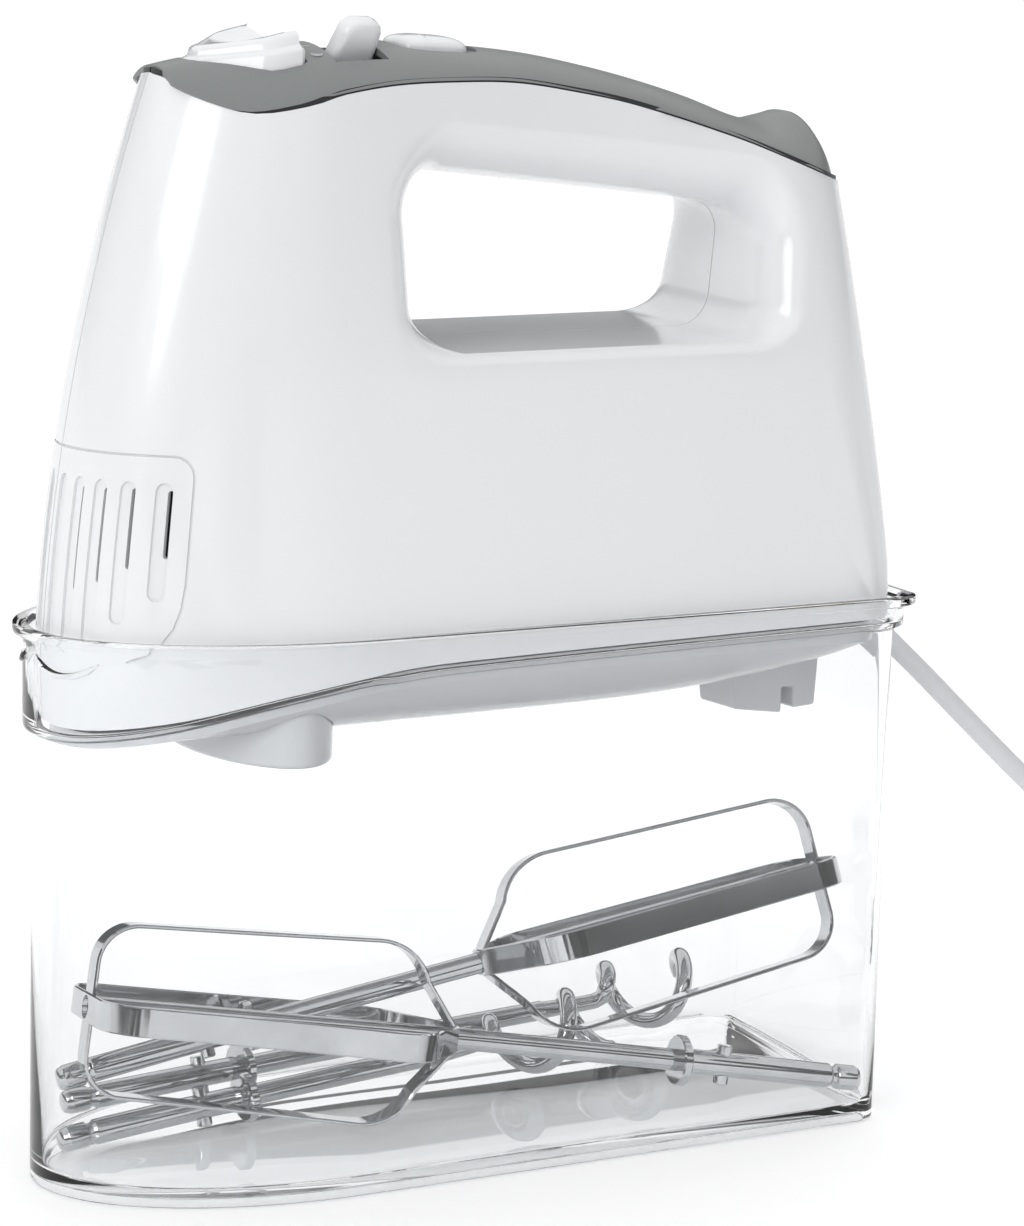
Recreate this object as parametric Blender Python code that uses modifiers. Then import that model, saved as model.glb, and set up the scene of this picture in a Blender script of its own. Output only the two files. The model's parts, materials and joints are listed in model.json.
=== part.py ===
"""Electric hand mixer in its clear storage case, with two beaters and two dough hooks.

Nose of the mixer towards -X, cord towards +X, +Z up.  The origin is the middle of the case's
footprint, on the surface that the case stands on.  Sizes below are in millimetres, and MM turns
them into Blender's metres.
"""
import math

import bmesh
import bpy
from mathutils import Matrix, Vector

MM = 0.001
GAP = 0.3                      # clearance between pieces that touch
WELD = 0.00001                 # merge distance of the modifiers, in metres

# ---- storage case ----
RIM_LENGTH = 205.0
RIM_HALF_WIDTH = 40.0
RIM_NOSE = 66.0                # length of the half-ellipse at the nose
RIM_CORNER = 9.0
RIM_TOP = 124.0
RIM_THICK = 2.0
COLLAR_OUT = 2.3               # insets from the rim's edge
COLLAR_IN = 3.5
WALL_OUT = 4.4
WALL_IN = 5.7
LEDGE_THICK = 1.2
FLOOR_TOP = 4.0
FOOT_RECESS = 1.2

# ---- mixer housing ----
SHELL = 2.2                    # wall thickness
COVER_THICK = 1.6
HULL_INSET = 2.6               # hull behind the housing's side
COVER_GAP = 0.9                # above the housing
SEAT_GAP = 1.2                 # housing above the case's ledge
BODY_HALF_WIDTH = 35.8
NOSE_X = -97.4                 # nose at the rim's level
REAR_X = 97.6
SILL_Z = 182.5

# ---- drive ----
DRIVE_Z = 134.0                # height of the motor's axis
GEAR_X = -49.5
GEAR_Y = 16.9
GEAR_TEETH = 16
GEAR_RADIUS = 11.6             # pitch radius
GEAR_WIDTH = 7.0
WORM_RADIUS = 5.0              # pitch radius
WORM_STARTS = 2
ADDENDUM = 1.3
DEDENDUM = 1.6
TOOTH = 1.9                    # tooth and thread thickness at the pitch line
SHAFT_RADIUS = 2.5

# ---- controls ----
LEVER_X = -32.0
LEVER_AXIS_Z = 225.0
LEVER_ANGLE = 20.0             # lean towards the near side at the off position

# ---- beaters and dough hooks ----
SHANK_RADIUS = 2.9
SHANK_LENGTH = 44.0            # from the tip to the stop collar
ROD_RADIUS = 2.5
COLLAR_RADIUS = 5.85
BEATER_LENGTH = 186.0
CAGE_LENGTH = 84.0
CAGE_HALF_WIDTH = 21.2
STRIP_WIDTH = 6.4
STRIP_THICK = 0.9
HOOK_RADIUS = 7.8
HOOK_ROD = 2.0

# ---- cord ----
CORD = 4.8                     # diameter
COIL_RADIUS = 24.5             # middle of its turns
COIL_CENTRE = (205.0, -45.0)


def clear_scene():
    for obj in list(bpy.data.objects):
        bpy.data.objects.remove(obj, do_unlink=True)


clear_scene()
PARTS = bpy.data.collections.new("hand_mixer")
CUTTERS = bpy.data.collections.new("cutters")
for group in (PARTS, CUTTERS):
    bpy.context.scene.collection.children.link(group)


# ------------------------------------------------------------------ materials
def material(name, colour, roughness, metallic=0.0, alpha=1.0):
    made = bpy.data.materials.new(name)
    made.use_nodes = True
    shader = made.node_tree.nodes["Principled BSDF"]
    shader.inputs["Base Color"].default_value = (*colour, 1.0)
    shader.inputs["Roughness"].default_value = roughness
    shader.inputs["Metallic"].default_value = metallic
    shader.inputs["Alpha"].default_value = alpha
    made.diffuse_color = (*colour, alpha)
    return made


WHITE = material("white_gloss_plastic", (0.86, 0.87, 0.89), 0.22)
GREY = material("grey_satin_plastic", (0.30, 0.32, 0.32), 0.42)
PALE = material("pale_grey_plastic", (0.62, 0.63, 0.65), 0.38)
CLEAR = material("clear_plastic", (0.93, 0.95, 0.96), 0.05, alpha=0.25)
CHROME = material("chrome", (0.75, 0.76, 0.77), 0.08, 1.0)
STEEL = material("machined_steel", (0.55, 0.56, 0.58), 0.3, 1.0)
IRON = material("lamination_steel", (0.28, 0.28, 0.30), 0.5, 1.0)
COPPER = material("enamelled_copper", (0.62, 0.28, 0.12), 0.35, 1.0)
BRASS = material("brass", (0.75, 0.6, 0.3), 0.3, 1.0)
NYLON = material("nylon", (0.80, 0.79, 0.72), 0.5)
BLACK = material("black_plastic", (0.03, 0.03, 0.035), 0.5)
BOARD = material("circuit_board", (0.05, 0.25, 0.12), 0.5)
CARBON = material("carbon", (0.04, 0.04, 0.045), 0.7)
CORD_PVC = material("cord_pvc", (0.78, 0.79, 0.80), 0.45)


# ------------------------------------------------------------------ building blocks
def add_object(name, data, collection=PARTS):
    obj = bpy.data.objects.new(name, data)
    collection.objects.link(obj)
    return obj


def body(name, location):
    """An empty on a joint's axis, which carries the pieces that move together."""
    empty = add_object(name, None)
    empty.location = Vector(location) * MM
    return empty


def attach(obj, parent, location):
    """Parent a piece whose mesh is drawn about the given point."""
    obj.parent = parent
    obj.location = Vector(location) * MM - parent.location
    return obj


def from_bmesh(name, mesh_edit, finish, collection=PARTS, smooth=30):
    mesh = bpy.data.meshes.new(name)
    mesh_edit.to_mesh(mesh)
    mesh_edit.free()
    if finish is not None:
        mesh.materials.append(finish)
    mesh.shade_smooth()
    mesh.set_sharp_from_angle(angle=math.radians(smooth))
    return add_object(name, mesh, collection)


def as_cutter(obj):
    for group in list(obj.users_collection):
        group.objects.unlink(obj)
    CUTTERS.objects.link(obj)
    obj.hide_render = True
    obj.display_type = "WIRE"
    return obj


def boolean(obj, other, operation="DIFFERENCE"):
    step = obj.modifiers.new(other.name, "BOOLEAN")
    step.operation = operation
    step.solver = "EXACT"
    step.object = as_cutter(other)
    return obj


def bevel(obj, width, segments=2, angle=40):
    step = obj.modifiers.new("rounded", "BEVEL")
    step.width = width * MM
    step.segments = segments
    step.limit_method = "ANGLE"
    step.angle_limit = math.radians(angle)
    return obj


def box(name, low, high, finish=None, rounding=0.0):
    """A box between two corners, with its origin at its middle."""
    low, high = Vector(low), Vector(high)
    edit = bmesh.new()
    bmesh.ops.create_cube(edit, size=1.0)
    bmesh.ops.scale(edit, vec=(high - low) * MM, verts=edit.verts)
    obj = from_bmesh(name, edit, finish)
    obj.location = (low + high) / 2 * MM
    return bevel(obj, rounding) if rounding else obj


def aim(obj, start, direction):
    obj.location = Vector(start) * MM
    obj.rotation_mode = "QUATERNION"
    obj.rotation_quaternion = Vector((0, 0, 1)).rotation_difference(Vector(direction))
    return obj


def cylinder(name, start, end, radius, finish=None, sides=24, end_radius=None):
    start, end = Vector(start), Vector(end)
    edit = bmesh.new()
    length = (end - start).length
    bmesh.ops.create_cone(edit, cap_ends=True, segments=sides, radius1=radius * MM,
                          radius2=(radius if end_radius is None else end_radius) * MM, depth=length * MM)
    bmesh.ops.translate(edit, verts=edit.verts, vec=(0, 0, length / 2 * MM))
    return aim(from_bmesh(name, edit, finish), start, end - start)


def turned(name, profile, finish=None, start=(0, 0, 0), direction=(0, 0, 1), ring=False, steps=18):
    """Turn a profile of (radius, height) points, listed down the outer side, about an axis."""
    edit = bmesh.new()
    points = [edit.verts.new((radius * MM, 0, height * MM)) for radius, height in profile]
    for first, second in zip(points, points[1:]):
        edit.edges.new((first, second))
    if ring:
        edit.edges.new((points[-1], points[0]))
    obj = aim(from_bmesh(name, edit, finish), start, direction)
    screw = obj.modifiers.new("turned", "SCREW")
    screw.steps = steps
    screw.render_steps = steps
    screw.use_merge_vertices = True
    screw.merge_threshold = WELD
    return obj


def wire(name, points, radius, finish=None, sides=2, scales=None):
    """A round wire through the points; scales thins or thickens it point by point."""
    curve = bpy.data.curves.new(name, "CURVE")
    curve.dimensions = "3D"
    curve.bevel_depth = radius * MM
    curve.bevel_resolution = sides
    curve.use_fill_caps = True
    spline = curve.splines.new("POLY")
    spline.points.add(len(points) - 1)
    for index, point in enumerate(points):
        spline.points[index].co = (*(Vector(point) * MM), 1.0)
        spline.points[index].radius = scales[index] if scales else 1.0
    if finish is not None:
        curve.materials.append(finish)
    return add_object(name, curve)


def flat(name, outline, low, high, finish=None, corner=0.0):
    """A flat outline in the XY plane, between two heights."""
    curve = bpy.data.curves.new(name, "CURVE")
    curve.dimensions = "2D"
    curve.fill_mode = "BOTH"
    curve.extrude = (high - low) / 2 * MM
    spline = curve.splines.new("POLY")
    spline.points.add(len(outline) - 1)
    for index, (x, y) in enumerate(outline):
        spline.points[index].co = (x * MM, y * MM, 0.0, 1.0)
    spline.use_cyclic_u = True
    obj = meshed(add_object(name, curve), finish)
    obj.location.z = (low + high) / 2 * MM
    return bevel(obj, corner) if corner else obj


def meshed(curve_object, finish=None):
    """The same curve as a closed mesh, ready for cutting and joining."""
    name = curve_object.name
    depsgraph = bpy.context.evaluated_depsgraph_get()
    mesh = bpy.data.meshes.new_from_object(curve_object.evaluated_get(depsgraph))
    edit = bmesh.new()
    edit.from_mesh(mesh)
    bmesh.ops.remove_doubles(edit, verts=edit.verts, dist=WELD)
    bmesh.ops.recalc_face_normals(edit, faces=edit.faces)
    place = curve_object.matrix_world.copy()
    bpy.data.objects.remove(curve_object, do_unlink=True)
    bpy.data.meshes.remove(mesh)
    obj = from_bmesh(name, edit, finish)
    obj.matrix_world = place
    return obj


def lofted(name, loops, finish, ends="fill"):
    """Skin a row of loops that have the same number of points; ends are filled, joined or left open."""
    edit = bmesh.new()
    rows = [[edit.verts.new(Vector(point) * MM) for point in loop] for loop in loops]
    count = len(rows[0])
    pairs = list(zip(rows, rows[1:]))
    if ends == "join":
        pairs.append((rows[-1], rows[0]))
    for lower, upper in pairs:
        for index in range(count):
            after = (index + 1) % count
            edit.faces.new((lower[index], lower[after], upper[after], upper[index]))
    if ends == "fill":
        edit.faces.new(list(reversed(rows[0])))
        edit.faces.new(rows[-1])
    bmesh.ops.remove_doubles(edit, verts=edit.verts, dist=WELD)
    bmesh.ops.dissolve_degenerate(edit, edges=edit.edges, dist=WELD)
    bmesh.ops.recalc_face_normals(edit, faces=edit.faces)
    return from_bmesh(name, edit, finish)


# ------------------------------------------------------------------ curves that shape the object
def smooth_through(points):
    """A smooth function of x through a few (x, y) points."""
    xs = [x for x, _ in points]
    ys = [y for _, y in points]
    slopes = [0.0] * len(xs)
    for i in range(1, len(xs) - 1):
        slopes[i] = (ys[i + 1] - ys[i - 1]) / (xs[i + 1] - xs[i - 1])
    slopes[0] = (ys[1] - ys[0]) / (xs[1] - xs[0])
    slopes[-1] = (ys[-1] - ys[-2]) / (xs[-1] - xs[-2])

    def value(x):
        if x <= xs[0]:
            return ys[0]
        if x >= xs[-1]:
            return ys[-1]
        i = max(k for k in range(len(xs) - 1) if xs[k] <= x)
        span = xs[i + 1] - xs[i]
        t = (x - xs[i]) / span
        return ((2 * t ** 3 - 3 * t ** 2 + 1) * ys[i] + (t ** 3 - 2 * t ** 2 + t) * span * slopes[i]
                + (3 * t ** 2 - 2 * t ** 3) * ys[i + 1] + (t ** 3 - t ** 2) * span * slopes[i + 1])
    return value


def clamp(value, low=0.0, high=1.0):
    return max(low, min(high, value))


def ease(value):
    value = clamp(value)
    return value * value * (3 - 2 * value)


# Heights along the outline.  The station runs from -112 at the nose's tip, over -31 where the
# straight side starts, along X on the side, and on round the rear.
ledge_height = smooth_through([(-112, 101.0), (-92, 101.6), (-72, 104.6), (-50, 110.2), (-31, 113.9),
                               (-8, 115.0), (95, 116.6), (130, 116.8)])
parting_height = smooth_through([(-112, 241.0), (-98, 240.0), (-82, 236.4), (-66, 233.8), (-50, 235.4),
                                 (-40, 237.6), (-27, 239.3), (-12, 239.7), (3, 239.3), (17, 237.3),
                                 (33, 234.1), (58, 226.6), (83, 217.6), (100, 215.6), (130, 215.2)])
ridge_height = smooth_through([(-77, 241.9), (-65, 244.2), (-50, 246.4), (-38, 247.2), (-20, 247.3),
                               (0, 246.0), (15, 244.3), (29, 241.6), (41, 238.7), (54, 234.9),
                               (66, 230.6), (74, 229.0), (79, 230.0), (84, 230.6), (89, 224.0),
                               (91.5, 216.5)])
hull_bottom = smooth_through([(-90, 101.0), (-60, 101.6), (0, 101.8), (40, 102.6), (68, 105.2),
                              (84, 108.4), (93, 111.5)])


def rise(z):
    """0 at the rim's level, 1 at the front of the handle."""
    return clamp((z - 122) / 113, 0.0, 1.06)


def nose_front(z):
    return NOSE_X + 6.2 * rise(z) + 15.1 * rise(z) ** 2


def nose_length(z):
    return 62.0 - 26.0 * rise(z)


def rear_back(z):
    return REAR_X - 7.0 * clamp((z - 130) / 87) ** 1.3


def rear_corner(z):
    return 9.0 + 11.0 * clamp((z - 130) / 87)


def half_width(x, z):
    taper = 11.3 * rise(z) ** 1.15
    middle = clamp(1 - ((x - 25) / 75) ** 2) ** 2
    waist = 5.0 * middle * ease((z - 180) / 42)
    return BODY_HALF_WIDTH - taper - waist


def fold(station, z, inset=0.0):
    """A point of the housing's flat development, folded round its nose and rear; y is positive."""
    straight = nose_front(z) + nose_length(z)
    corner = rear_corner(z)
    turn_start = rear_back(z) - corner
    width = half_width(clamp(station, -50, 100), z) - inset
    if station < straight:
        angle = math.pi / 2 * (station + 112) / (straight + 112)
        return straight - (nose_length(z) - inset) * math.cos(angle), width * math.sin(angle)
    if station <= turn_start:
        return station, width
    turned_angle = (station - turn_start) / corner
    if turned_angle < math.pi / 2:
        return (turn_start + (corner - inset) * math.sin(turned_angle),
                width - (corner - inset) * (1 - math.cos(turned_angle)))
    return rear_back(z) - inset, width + inset - corner - (station - turn_start - corner * math.pi / 2)


def rear_station(z):
    """Station of the middle of the rear."""
    corner = rear_corner(z)
    return rear_back(z) - corner + corner * math.pi / 2 + half_width(100, z) - corner


# ------------------------------------------------------------------ storage case
def case_loop(inset, height, side_points=7):
    """One level of the case; height is a number or a function of the station."""
    nose_x = -RIM_LENGTH / 2 + RIM_NOSE
    corner = RIM_CORNER - inset * 0.6
    rear = RIM_LENGTH / 2 - inset
    width = RIM_HALF_WIDTH - inset
    half = []
    for step in range(11):
        angle = math.pi / 2 * step / 10
        half.append((nose_x - (RIM_NOSE - inset) * math.cos(angle), width * math.sin(angle),
                     -112 + 81 * step / 10))
    for step in range(1, side_points):
        x = nose_x + (rear - corner - nose_x) * step / side_points
        half.append((x, width, x))
    for step in range(5):
        angle = math.pi / 2 * step / 4
        x = rear - corner + corner * math.sin(angle)
        half.append((x, width - corner * (1 - math.cos(angle)), x))
    half.append((rear, 12.0, rear))
    level = height if callable(height) else (lambda station: height)
    near = [(x, -y, level(station)) for x, y, station in half]
    far = [(x, y, level(station)) for x, y, station in reversed(half[1:])]
    return near + far


def ledge_top(station):
    return ledge_height(station) + LEDGE_THICK


def storage_case():
    rim_bottom = RIM_TOP - RIM_THICK
    outside = [(WALL_OUT + 1.5, FOOT_RECESS), (WALL_OUT + 1.0, 0.0), (WALL_OUT, 0.0),
               (WALL_OUT, ledge_height), (COLLAR_OUT, ledge_height), (COLLAR_OUT, rim_bottom),
               (0.0, rim_bottom), (0.0, RIM_TOP)]
    inside = [(COLLAR_IN, RIM_TOP), (COLLAR_IN, ledge_top), (WALL_IN, ledge_top), (WALL_IN, FLOOR_TOP)]
    loops = [case_loop(inset, height) for inset, height in outside + inside]
    case = lofted("storage_case", loops, CLEAR)
    cord_notch = box("cord_notch", (88, -8.5, 109.5), (110, 8.5, 130))
    return boolean(case, cord_notch)


# ------------------------------------------------------------------ housing
def opening_point(side, t, inset=0.0):
    """The handle opening's edge at the middle of the mixer, side by side, and its outward direction."""
    top_front, top_rear = (-13.0, 211.0), (58.5, 203.8)
    low_rear, low_front = (57.0, SILL_Z + 8.0), (-11.0, SILL_Z + 10.5)
    corners = {"left": (low_front, top_front), "top": (top_front, top_rear),
               "right": (top_rear, low_rear), "bottom": (low_rear, low_front)}
    start, end = corners[side]
    radii = {top_front: 8.8, top_rear: 7.6, low_rear: 8.0, low_front: 10.5}
    turn_share = 0.22
    direction = Vector((end[0] - start[0], end[1] - start[1])).normalized()
    normal_angle = math.atan2(direction.x, -direction.y)
    if t < turn_share:
        centre, radius = start, radii[start]
        angle = normal_angle + math.radians(45) * (1 - t / turn_share)
    elif t > 1 - turn_share:
        centre, radius = end, radii[end]
        angle = normal_angle - math.radians(45) * ((t - 1 + turn_share) / turn_share)
    else:
        along = (t - turn_share) / (1 - 2 * turn_share)
        radius = radii[start] + (radii[end] - radii[start]) * along
        centre = (start[0] + (end[0] - start[0]) * along, start[1] + (end[1] - start[1]) * along)
        angle = normal_angle
    out = Vector((math.cos(angle), math.sin(angle)))
    return Vector(centre) + out * (radius + inset), out


# The nose takes as much of the upper edge as one corner of the opening does.
top_station = smooth_through([(0.0, -112.0), (0.11, -75.0), (0.22, -40.0), (0.5, 11.0), (0.78, 62.0),
                              (1.0, rear_station(216))])


def fillet_size(out, inset=0.0):
    """How far the rounding into the opening reaches over the side, and how deep it goes."""
    up, down = clamp(out.y) ** 2, clamp(-out.y) ** 2
    front, back = clamp(-out.x) ** 2, clamp(out.x) ** 2
    reach = 12.0 * up + 3.0 * down + 9.0 * front + 8.0 * back
    depth = 19.2 * up + 3.0 * down + 17.0 * front + 14.0 * back
    return max(reach - inset, 0.6), depth


def outer_point(side, t):
    """The housing's outer edge, as (station, height)."""
    if side == "left":
        return -112.0, ledge_height(-112) + LEDGE_THICK + SEAT_GAP + (parting_height(-112)
               - ledge_height(-112) - LEDGE_THICK - SEAT_GAP) * t
    if side == "top":
        station = top_station(t)
        return station, parting_height(station)
    low_rear = ledge_height(130) + LEDGE_THICK + SEAT_GAP
    if side == "right":
        z = parting_height(130) + (low_rear - parting_height(130)) * t
        return rear_station(z), z
    station = rear_station(low_rear) + (-112 - rear_station(low_rear)) * t
    return station, ledge_height(station) + LEDGE_THICK + SEAT_GAP


# Stations between which the rear corner turns.
CORNER_START = 88.6
CORNER_END = 102.7


def ring_shares(side, outer, inner, across):
    """How far each ring lies from the outer edge to the opening; the rear corner gets its own rings."""
    if side == "top" or outer < CORNER_START + 2:
        return [k / across for k in range(across + 1)]
    first = min(CORNER_END, outer - (outer - CORNER_START) / across)
    stations = [first - (first - CORNER_START) * k / (across - 2) for k in range(across - 1)]
    return [0.0] + [(outer - station) / (outer - inner) for station in stations] + [1.0]


def housing_rows(across, fillet_steps, inset):
    """Rings of points from the housing's outer edge to the middle of the handle opening."""
    counts = {"left": 10, "top": 24, "right": 8, "bottom": 18}
    spots = [(side, i / n) for side, n in counts.items() for i in range(n)]
    edges = [opening_point(side, t, inset) for side, t in spots]
    rings = []
    for k in range(across + 1):
        ring = []
        for (side, t), (edge, out) in zip(spots, edges):
            inner = edge + out * fillet_size(out, inset)[0]
            outer = outer_point(side, t)
            share = ring_shares(side, outer[0], inner.x, across)[k]
            station = outer[0] + (inner.x - outer[0]) * share
            z = outer[1] + (inner.y - outer[1]) * (share ** 0.5 if side == "top" and t < 0.5 else share)
            x, y = fold(station, z, inset)
            ring.append((x, y if y > 0.5 else GAP / 2, z))
        rings.append(ring)
    for k in range(1, fillet_steps + 1):
        ring = []
        for edge, out in edges:
            reach, depth = fillet_size(out, inset)
            angle = math.pi / 2 * k / fillet_steps
            spot = edge + out * reach * (1 - math.sin(angle))
            x, y = fold(spot.x, spot.y, inset)
            ring.append((spot.x, y - min(depth, y - 0.6) * (1 - math.cos(angle)), spot.y))
        rings.append(ring)
    rings.append([(edge.x, GAP / 2, edge.y) for edge, _ in edges])
    return rings


def housing_half(name, side):
    """Outer skin and inner skin, joined at their edges."""
    outside = housing_rows(5, 4, 0.0)
    inside = list(reversed(housing_rows(5, 4, SHELL)))
    rings = [[(x, side * y, z) for x, y, z in ring] for ring in outside + inside]
    half = lofted(name, rings, WHITE, ends="join")
    relief = cylinder(name + "_cord_hole", RELIEF_START, RELIEF_END, 5.4)
    return boolean(half, relief)


def cover_point(x, across, inset=0.0):
    """Top cover: x along the mixer, across from -1 to 1."""
    front, back = -76.6, 90.6
    nose, tail = 34.0, 17.0
    if x < front + nose:
        end_factor = math.sqrt(clamp(1 - ((front + nose - x) / nose) ** 2))
        station = -112 + (nose_front(240) + nose_length(240) + 112) * (1 - 2 / math.pi * math.acos(end_factor))
    elif x > back - tail:
        end_factor = math.sqrt(clamp(1 - ((x - back + tail) / tail) ** 2))
        station = x + 6 * (1 - end_factor)
    else:
        end_factor, station = 1.0, x
    edge = parting_height(station) + COVER_GAP
    width = half_width(clamp(x, -50, 100), 238 if x < 40 else 225) * end_factor - 0.1
    width = max(width - inset, 0.3 * width)
    y = width * math.sin(math.pi / 2 * across)
    dome = max(ridge_height(x) - edge, 0.4)
    dome = max(dome - inset, 0.0) if inset else dome
    return x, y, edge + dome * clamp(1 - (y / max(width, 0.01)) ** 2) ** 0.8


def top_cover():
    stations = [-73.1, -70.8, -67.4, -64, -57, -49, -40, -28, -14, 0, 16, 32, 46, 58, 68, 74, 79, 84,
                87.5, 89.5, 90.5]
    across = [-1 + i / 5 for i in range(11)]
    loops = [[cover_point(x, a) for a in across] + [cover_point(x, -a, COVER_THICK) for a in across]
             for x in stations]
    cover = lofted("top_cover", loops, GREY)
    boolean(cover, flat("eject_hole", eject_outline(0.5), 225, 260))
    boolean(cover, box("lever_slot", (LEVER_X - 6.0, -15.5, 238), (LEVER_X + 6.6, 14.5, 260)))
    return boolean(cover, cylinder("turbo_hole", (-9.6, -1, 235), (-9.6, -1, 260), 8.9, sides=28))


def hull_loop(inset, scale, height):
    """A level of the lower cover, drawn in towards the middle line."""
    points = []
    for station in [-112 + 81 * i / 7 for i in range(7)] + [-31, 10, 50, 78, 88, 94, 100, 112, 128]:
        x, y = fold(station, 122)
        edge = ledge_height(station)
        x_in = x * (1 - inset / 97.0)
        y_in = max(y - inset, 0.0) if station > -31 else y * (1 - inset / BODY_HALF_WIDTH)
        spine = clamp(x_in, -45, 70)
        x_in = spine + (x_in - spine) * scale
        points.append((x_in, y_in * scale, height(x_in, edge)))
    near = [(x, -y, z) for x, y, z in points]
    far = [(x, y, z) for x, y, z in reversed(points)]
    return near + far[1:-1]


def lower_cover():
    loops = [hull_loop(HULL_INSET, 1.0, lambda x, edge: edge + LEDGE_THICK)]
    for scale in (1.0, 0.95, 0.8, 0.4):
        drop = 1.0 - scale ** 5
        loops.append(hull_loop(HULL_INSET, scale, lambda x, edge, drop=drop: min(edge - 1.6, 113.5)
                     + (min(hull_bottom(x), edge - 2.2) - min(edge - 1.6, 113.5)) * drop))
    loops.append(hull_loop(HULL_INSET, 0.0, lambda x, edge: hull_bottom(x)))
    hull = lofted("lower_cover", loops, PALE, ends="open")
    shell = hull.modifiers.new("wall", "SOLIDIFY")
    shell.thickness = 1.5 * MM
    shell.offset = -1.0
    boolean(hull, flat("boss_hole", oval(GEAR_X, 0, 14.8, 31.0, 32), 90, 118))
    for index, x in enumerate(SCREW_X):
        boolean(hull, cylinder(f"screw_hole_{index}", (x, 0, 90), (x, 0, 112), 1.9, sides=16))
    return hull


def oval(cx, cy, rx, ry, count):
    return [(cx + rx * math.cos(2 * math.pi * i / count), cy + ry * math.sin(2 * math.pi * i / count))
            for i in range(count)]


def socket_boss():
    loops = []
    for inset, z in ((0.6, 95.6), (0.0, 96.2), (0.0, 108.0)):
        loops.append([(x, y, z) for x, y in oval(GEAR_X, 0, 14.4 - inset, 30.6 - inset, 32)])
    boss = lofted("socket_boss", loops, PALE)
    for side in (-1, 1):
        hole = cylinder(f"socket_hole_{side}", (GEAR_X, side * GEAR_Y, 90), (GEAR_X, side * GEAR_Y, 112), 4.9)
        boolean(boss, hole)
    return boss


def side_plate(name, outline, y_low, y_high, finish):
    """A flat outline in the XZ plane, between two Y values."""
    plate = flat(name, outline, -(y_high - y_low) / 2, (y_high - y_low) / 2, finish)
    plate.location = (0, (y_low + y_high) / 2 * MM, 0)
    plate.rotation_euler = (math.pi / 2, 0, 0)
    return plate


def rear_foot():
    outline = [(69.5, 103.2), (70.6, 95.2), (83.4, 93.3), (83.4, 99.5), (86.4, 99.5), (86.4, 94.2),
               (92.4, 94.6), (93.2, 108.6), (84.0, 106.2)]
    return side_plate("rear_foot", outline, -8, 8, PALE)


SCREW_X = (-16.0, 22.0, 60.0)


def hull_screw(index, x):
    head = hull_bottom(x) + 0.4
    profile = [(0, head + 9), (0.9, head + 9), (1.5, head + 8), (1.5, head + 0.2), (0, head + 0.2)]
    return turned(f"hull_screw_{index}", profile, STEEL, start=(x, 0, 0), steps=16)


# ------------------------------------------------------------------ cord
RELIEF_DIRECTION = Vector((0.748, 0.0, -0.664)).normalized()
RELIEF_START = Vector((91.5, 0.0, 129.1))
RELIEF_LENGTH = 34.0
RELIEF_END = RELIEF_START + RELIEF_DIRECTION * RELIEF_LENGTH


def spline_points(points, spacing):
    """Points on a smooth Catmull-Rom curve through the given points."""
    knots = [Vector(point) for point in points]
    knots = [2 * knots[0] - knots[1]] + knots + [2 * knots[-1] - knots[-2]]
    made = [knots[1]]
    for i in range(1, len(knots) - 2):
        before, start, end, after = knots[i - 1:i + 3]
        steps = max(1, round((end - start).length / spacing))
        for step in range(1, steps + 1):
            t = step / steps
            made.append(0.5 * (2 * start + (end - before) * t + (2 * before - 5 * start + 4 * end - after) * t ** 2
                               + (3 * start - before - 3 * end + after) * t ** 3))
    return made


CORD_ROUTE = [tuple(RELIEF_END + RELIEF_DIRECTION * GAP), (129.5, 0.0, 95.3), (144.5, -0.2, 81.4),
              (160.0, -0.6, 67.3), (176.0, -1.4, 53.2), (191.5, -2.8, 39.8), (206.0, -5.2, 27.6),
              (219.0, -9.6, 16.8), (229.6, -17.0, 8.8), (237.0, -27.0, 4.2), (240.6, -38.0, 2.8),
              (241.0, -46.0, 2.6)]
TAIL_ROUTE = [(209.0, -81.2, 7.0), (202.0, -81.2, 7.0), (195.3, -81.2, 7.0)]


def strain_relief():
    profile = [(0, 0), (4.9, 0), (4.9, 9.0), (4.4, 9.4), (4.4, 11.0), (4.7, 11.4), (4.1, 18.0), (3.4, 26.0),
               (3.0, 34.0), (0, 34.0)]
    profile = [(radius, height) for radius, height in reversed(profile)]
    return turned("strain_relief", profile, PALE, start=RELIEF_START, direction=RELIEF_DIRECTION, steps=16)


def coil_solid():
    half, low, high = CORD * 1.5, 0.05, CORD * 2 + 0.1
    ring = [(COIL_RADIUS - half + 1.5, high), (COIL_RADIUS + half - 1.5, high), (COIL_RADIUS + half, high - 1.5),
            (COIL_RADIUS + half, low + 1.5), (COIL_RADIUS + half - 1.5, low), (COIL_RADIUS - half + 1.5, low),
            (COIL_RADIUS - half, low + 1.5), (COIL_RADIUS - half, high - 1.5)]
    return turned("cord_coil", ring, CORD_PVC, start=(*COIL_CENTRE, 0), ring=True, steps=24)


def cord_tie():
    half, high = CORD * 1.5, CORD * 2 + 0.1
    outer = box("cord_tie", (-half - 1.4, -2.5, 0.02), (half + 1.4, 2.5, high + 1.4), BLACK, 0.6)
    hole = box("cord_tie_hole", (-half - 0.4, -4, -5.0), (half + 0.4, 4, high + 0.4))
    angle = math.radians(140)
    for obj in (outer, hole):
        obj.rotation_euler.z = angle
        obj.location.x = (COIL_CENTRE[0] + COIL_RADIUS * math.cos(angle)) * MM
        obj.location.y = (COIL_CENTRE[1] + COIL_RADIUS * math.sin(angle)) * MM
    return boolean(outer, hole)


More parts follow.
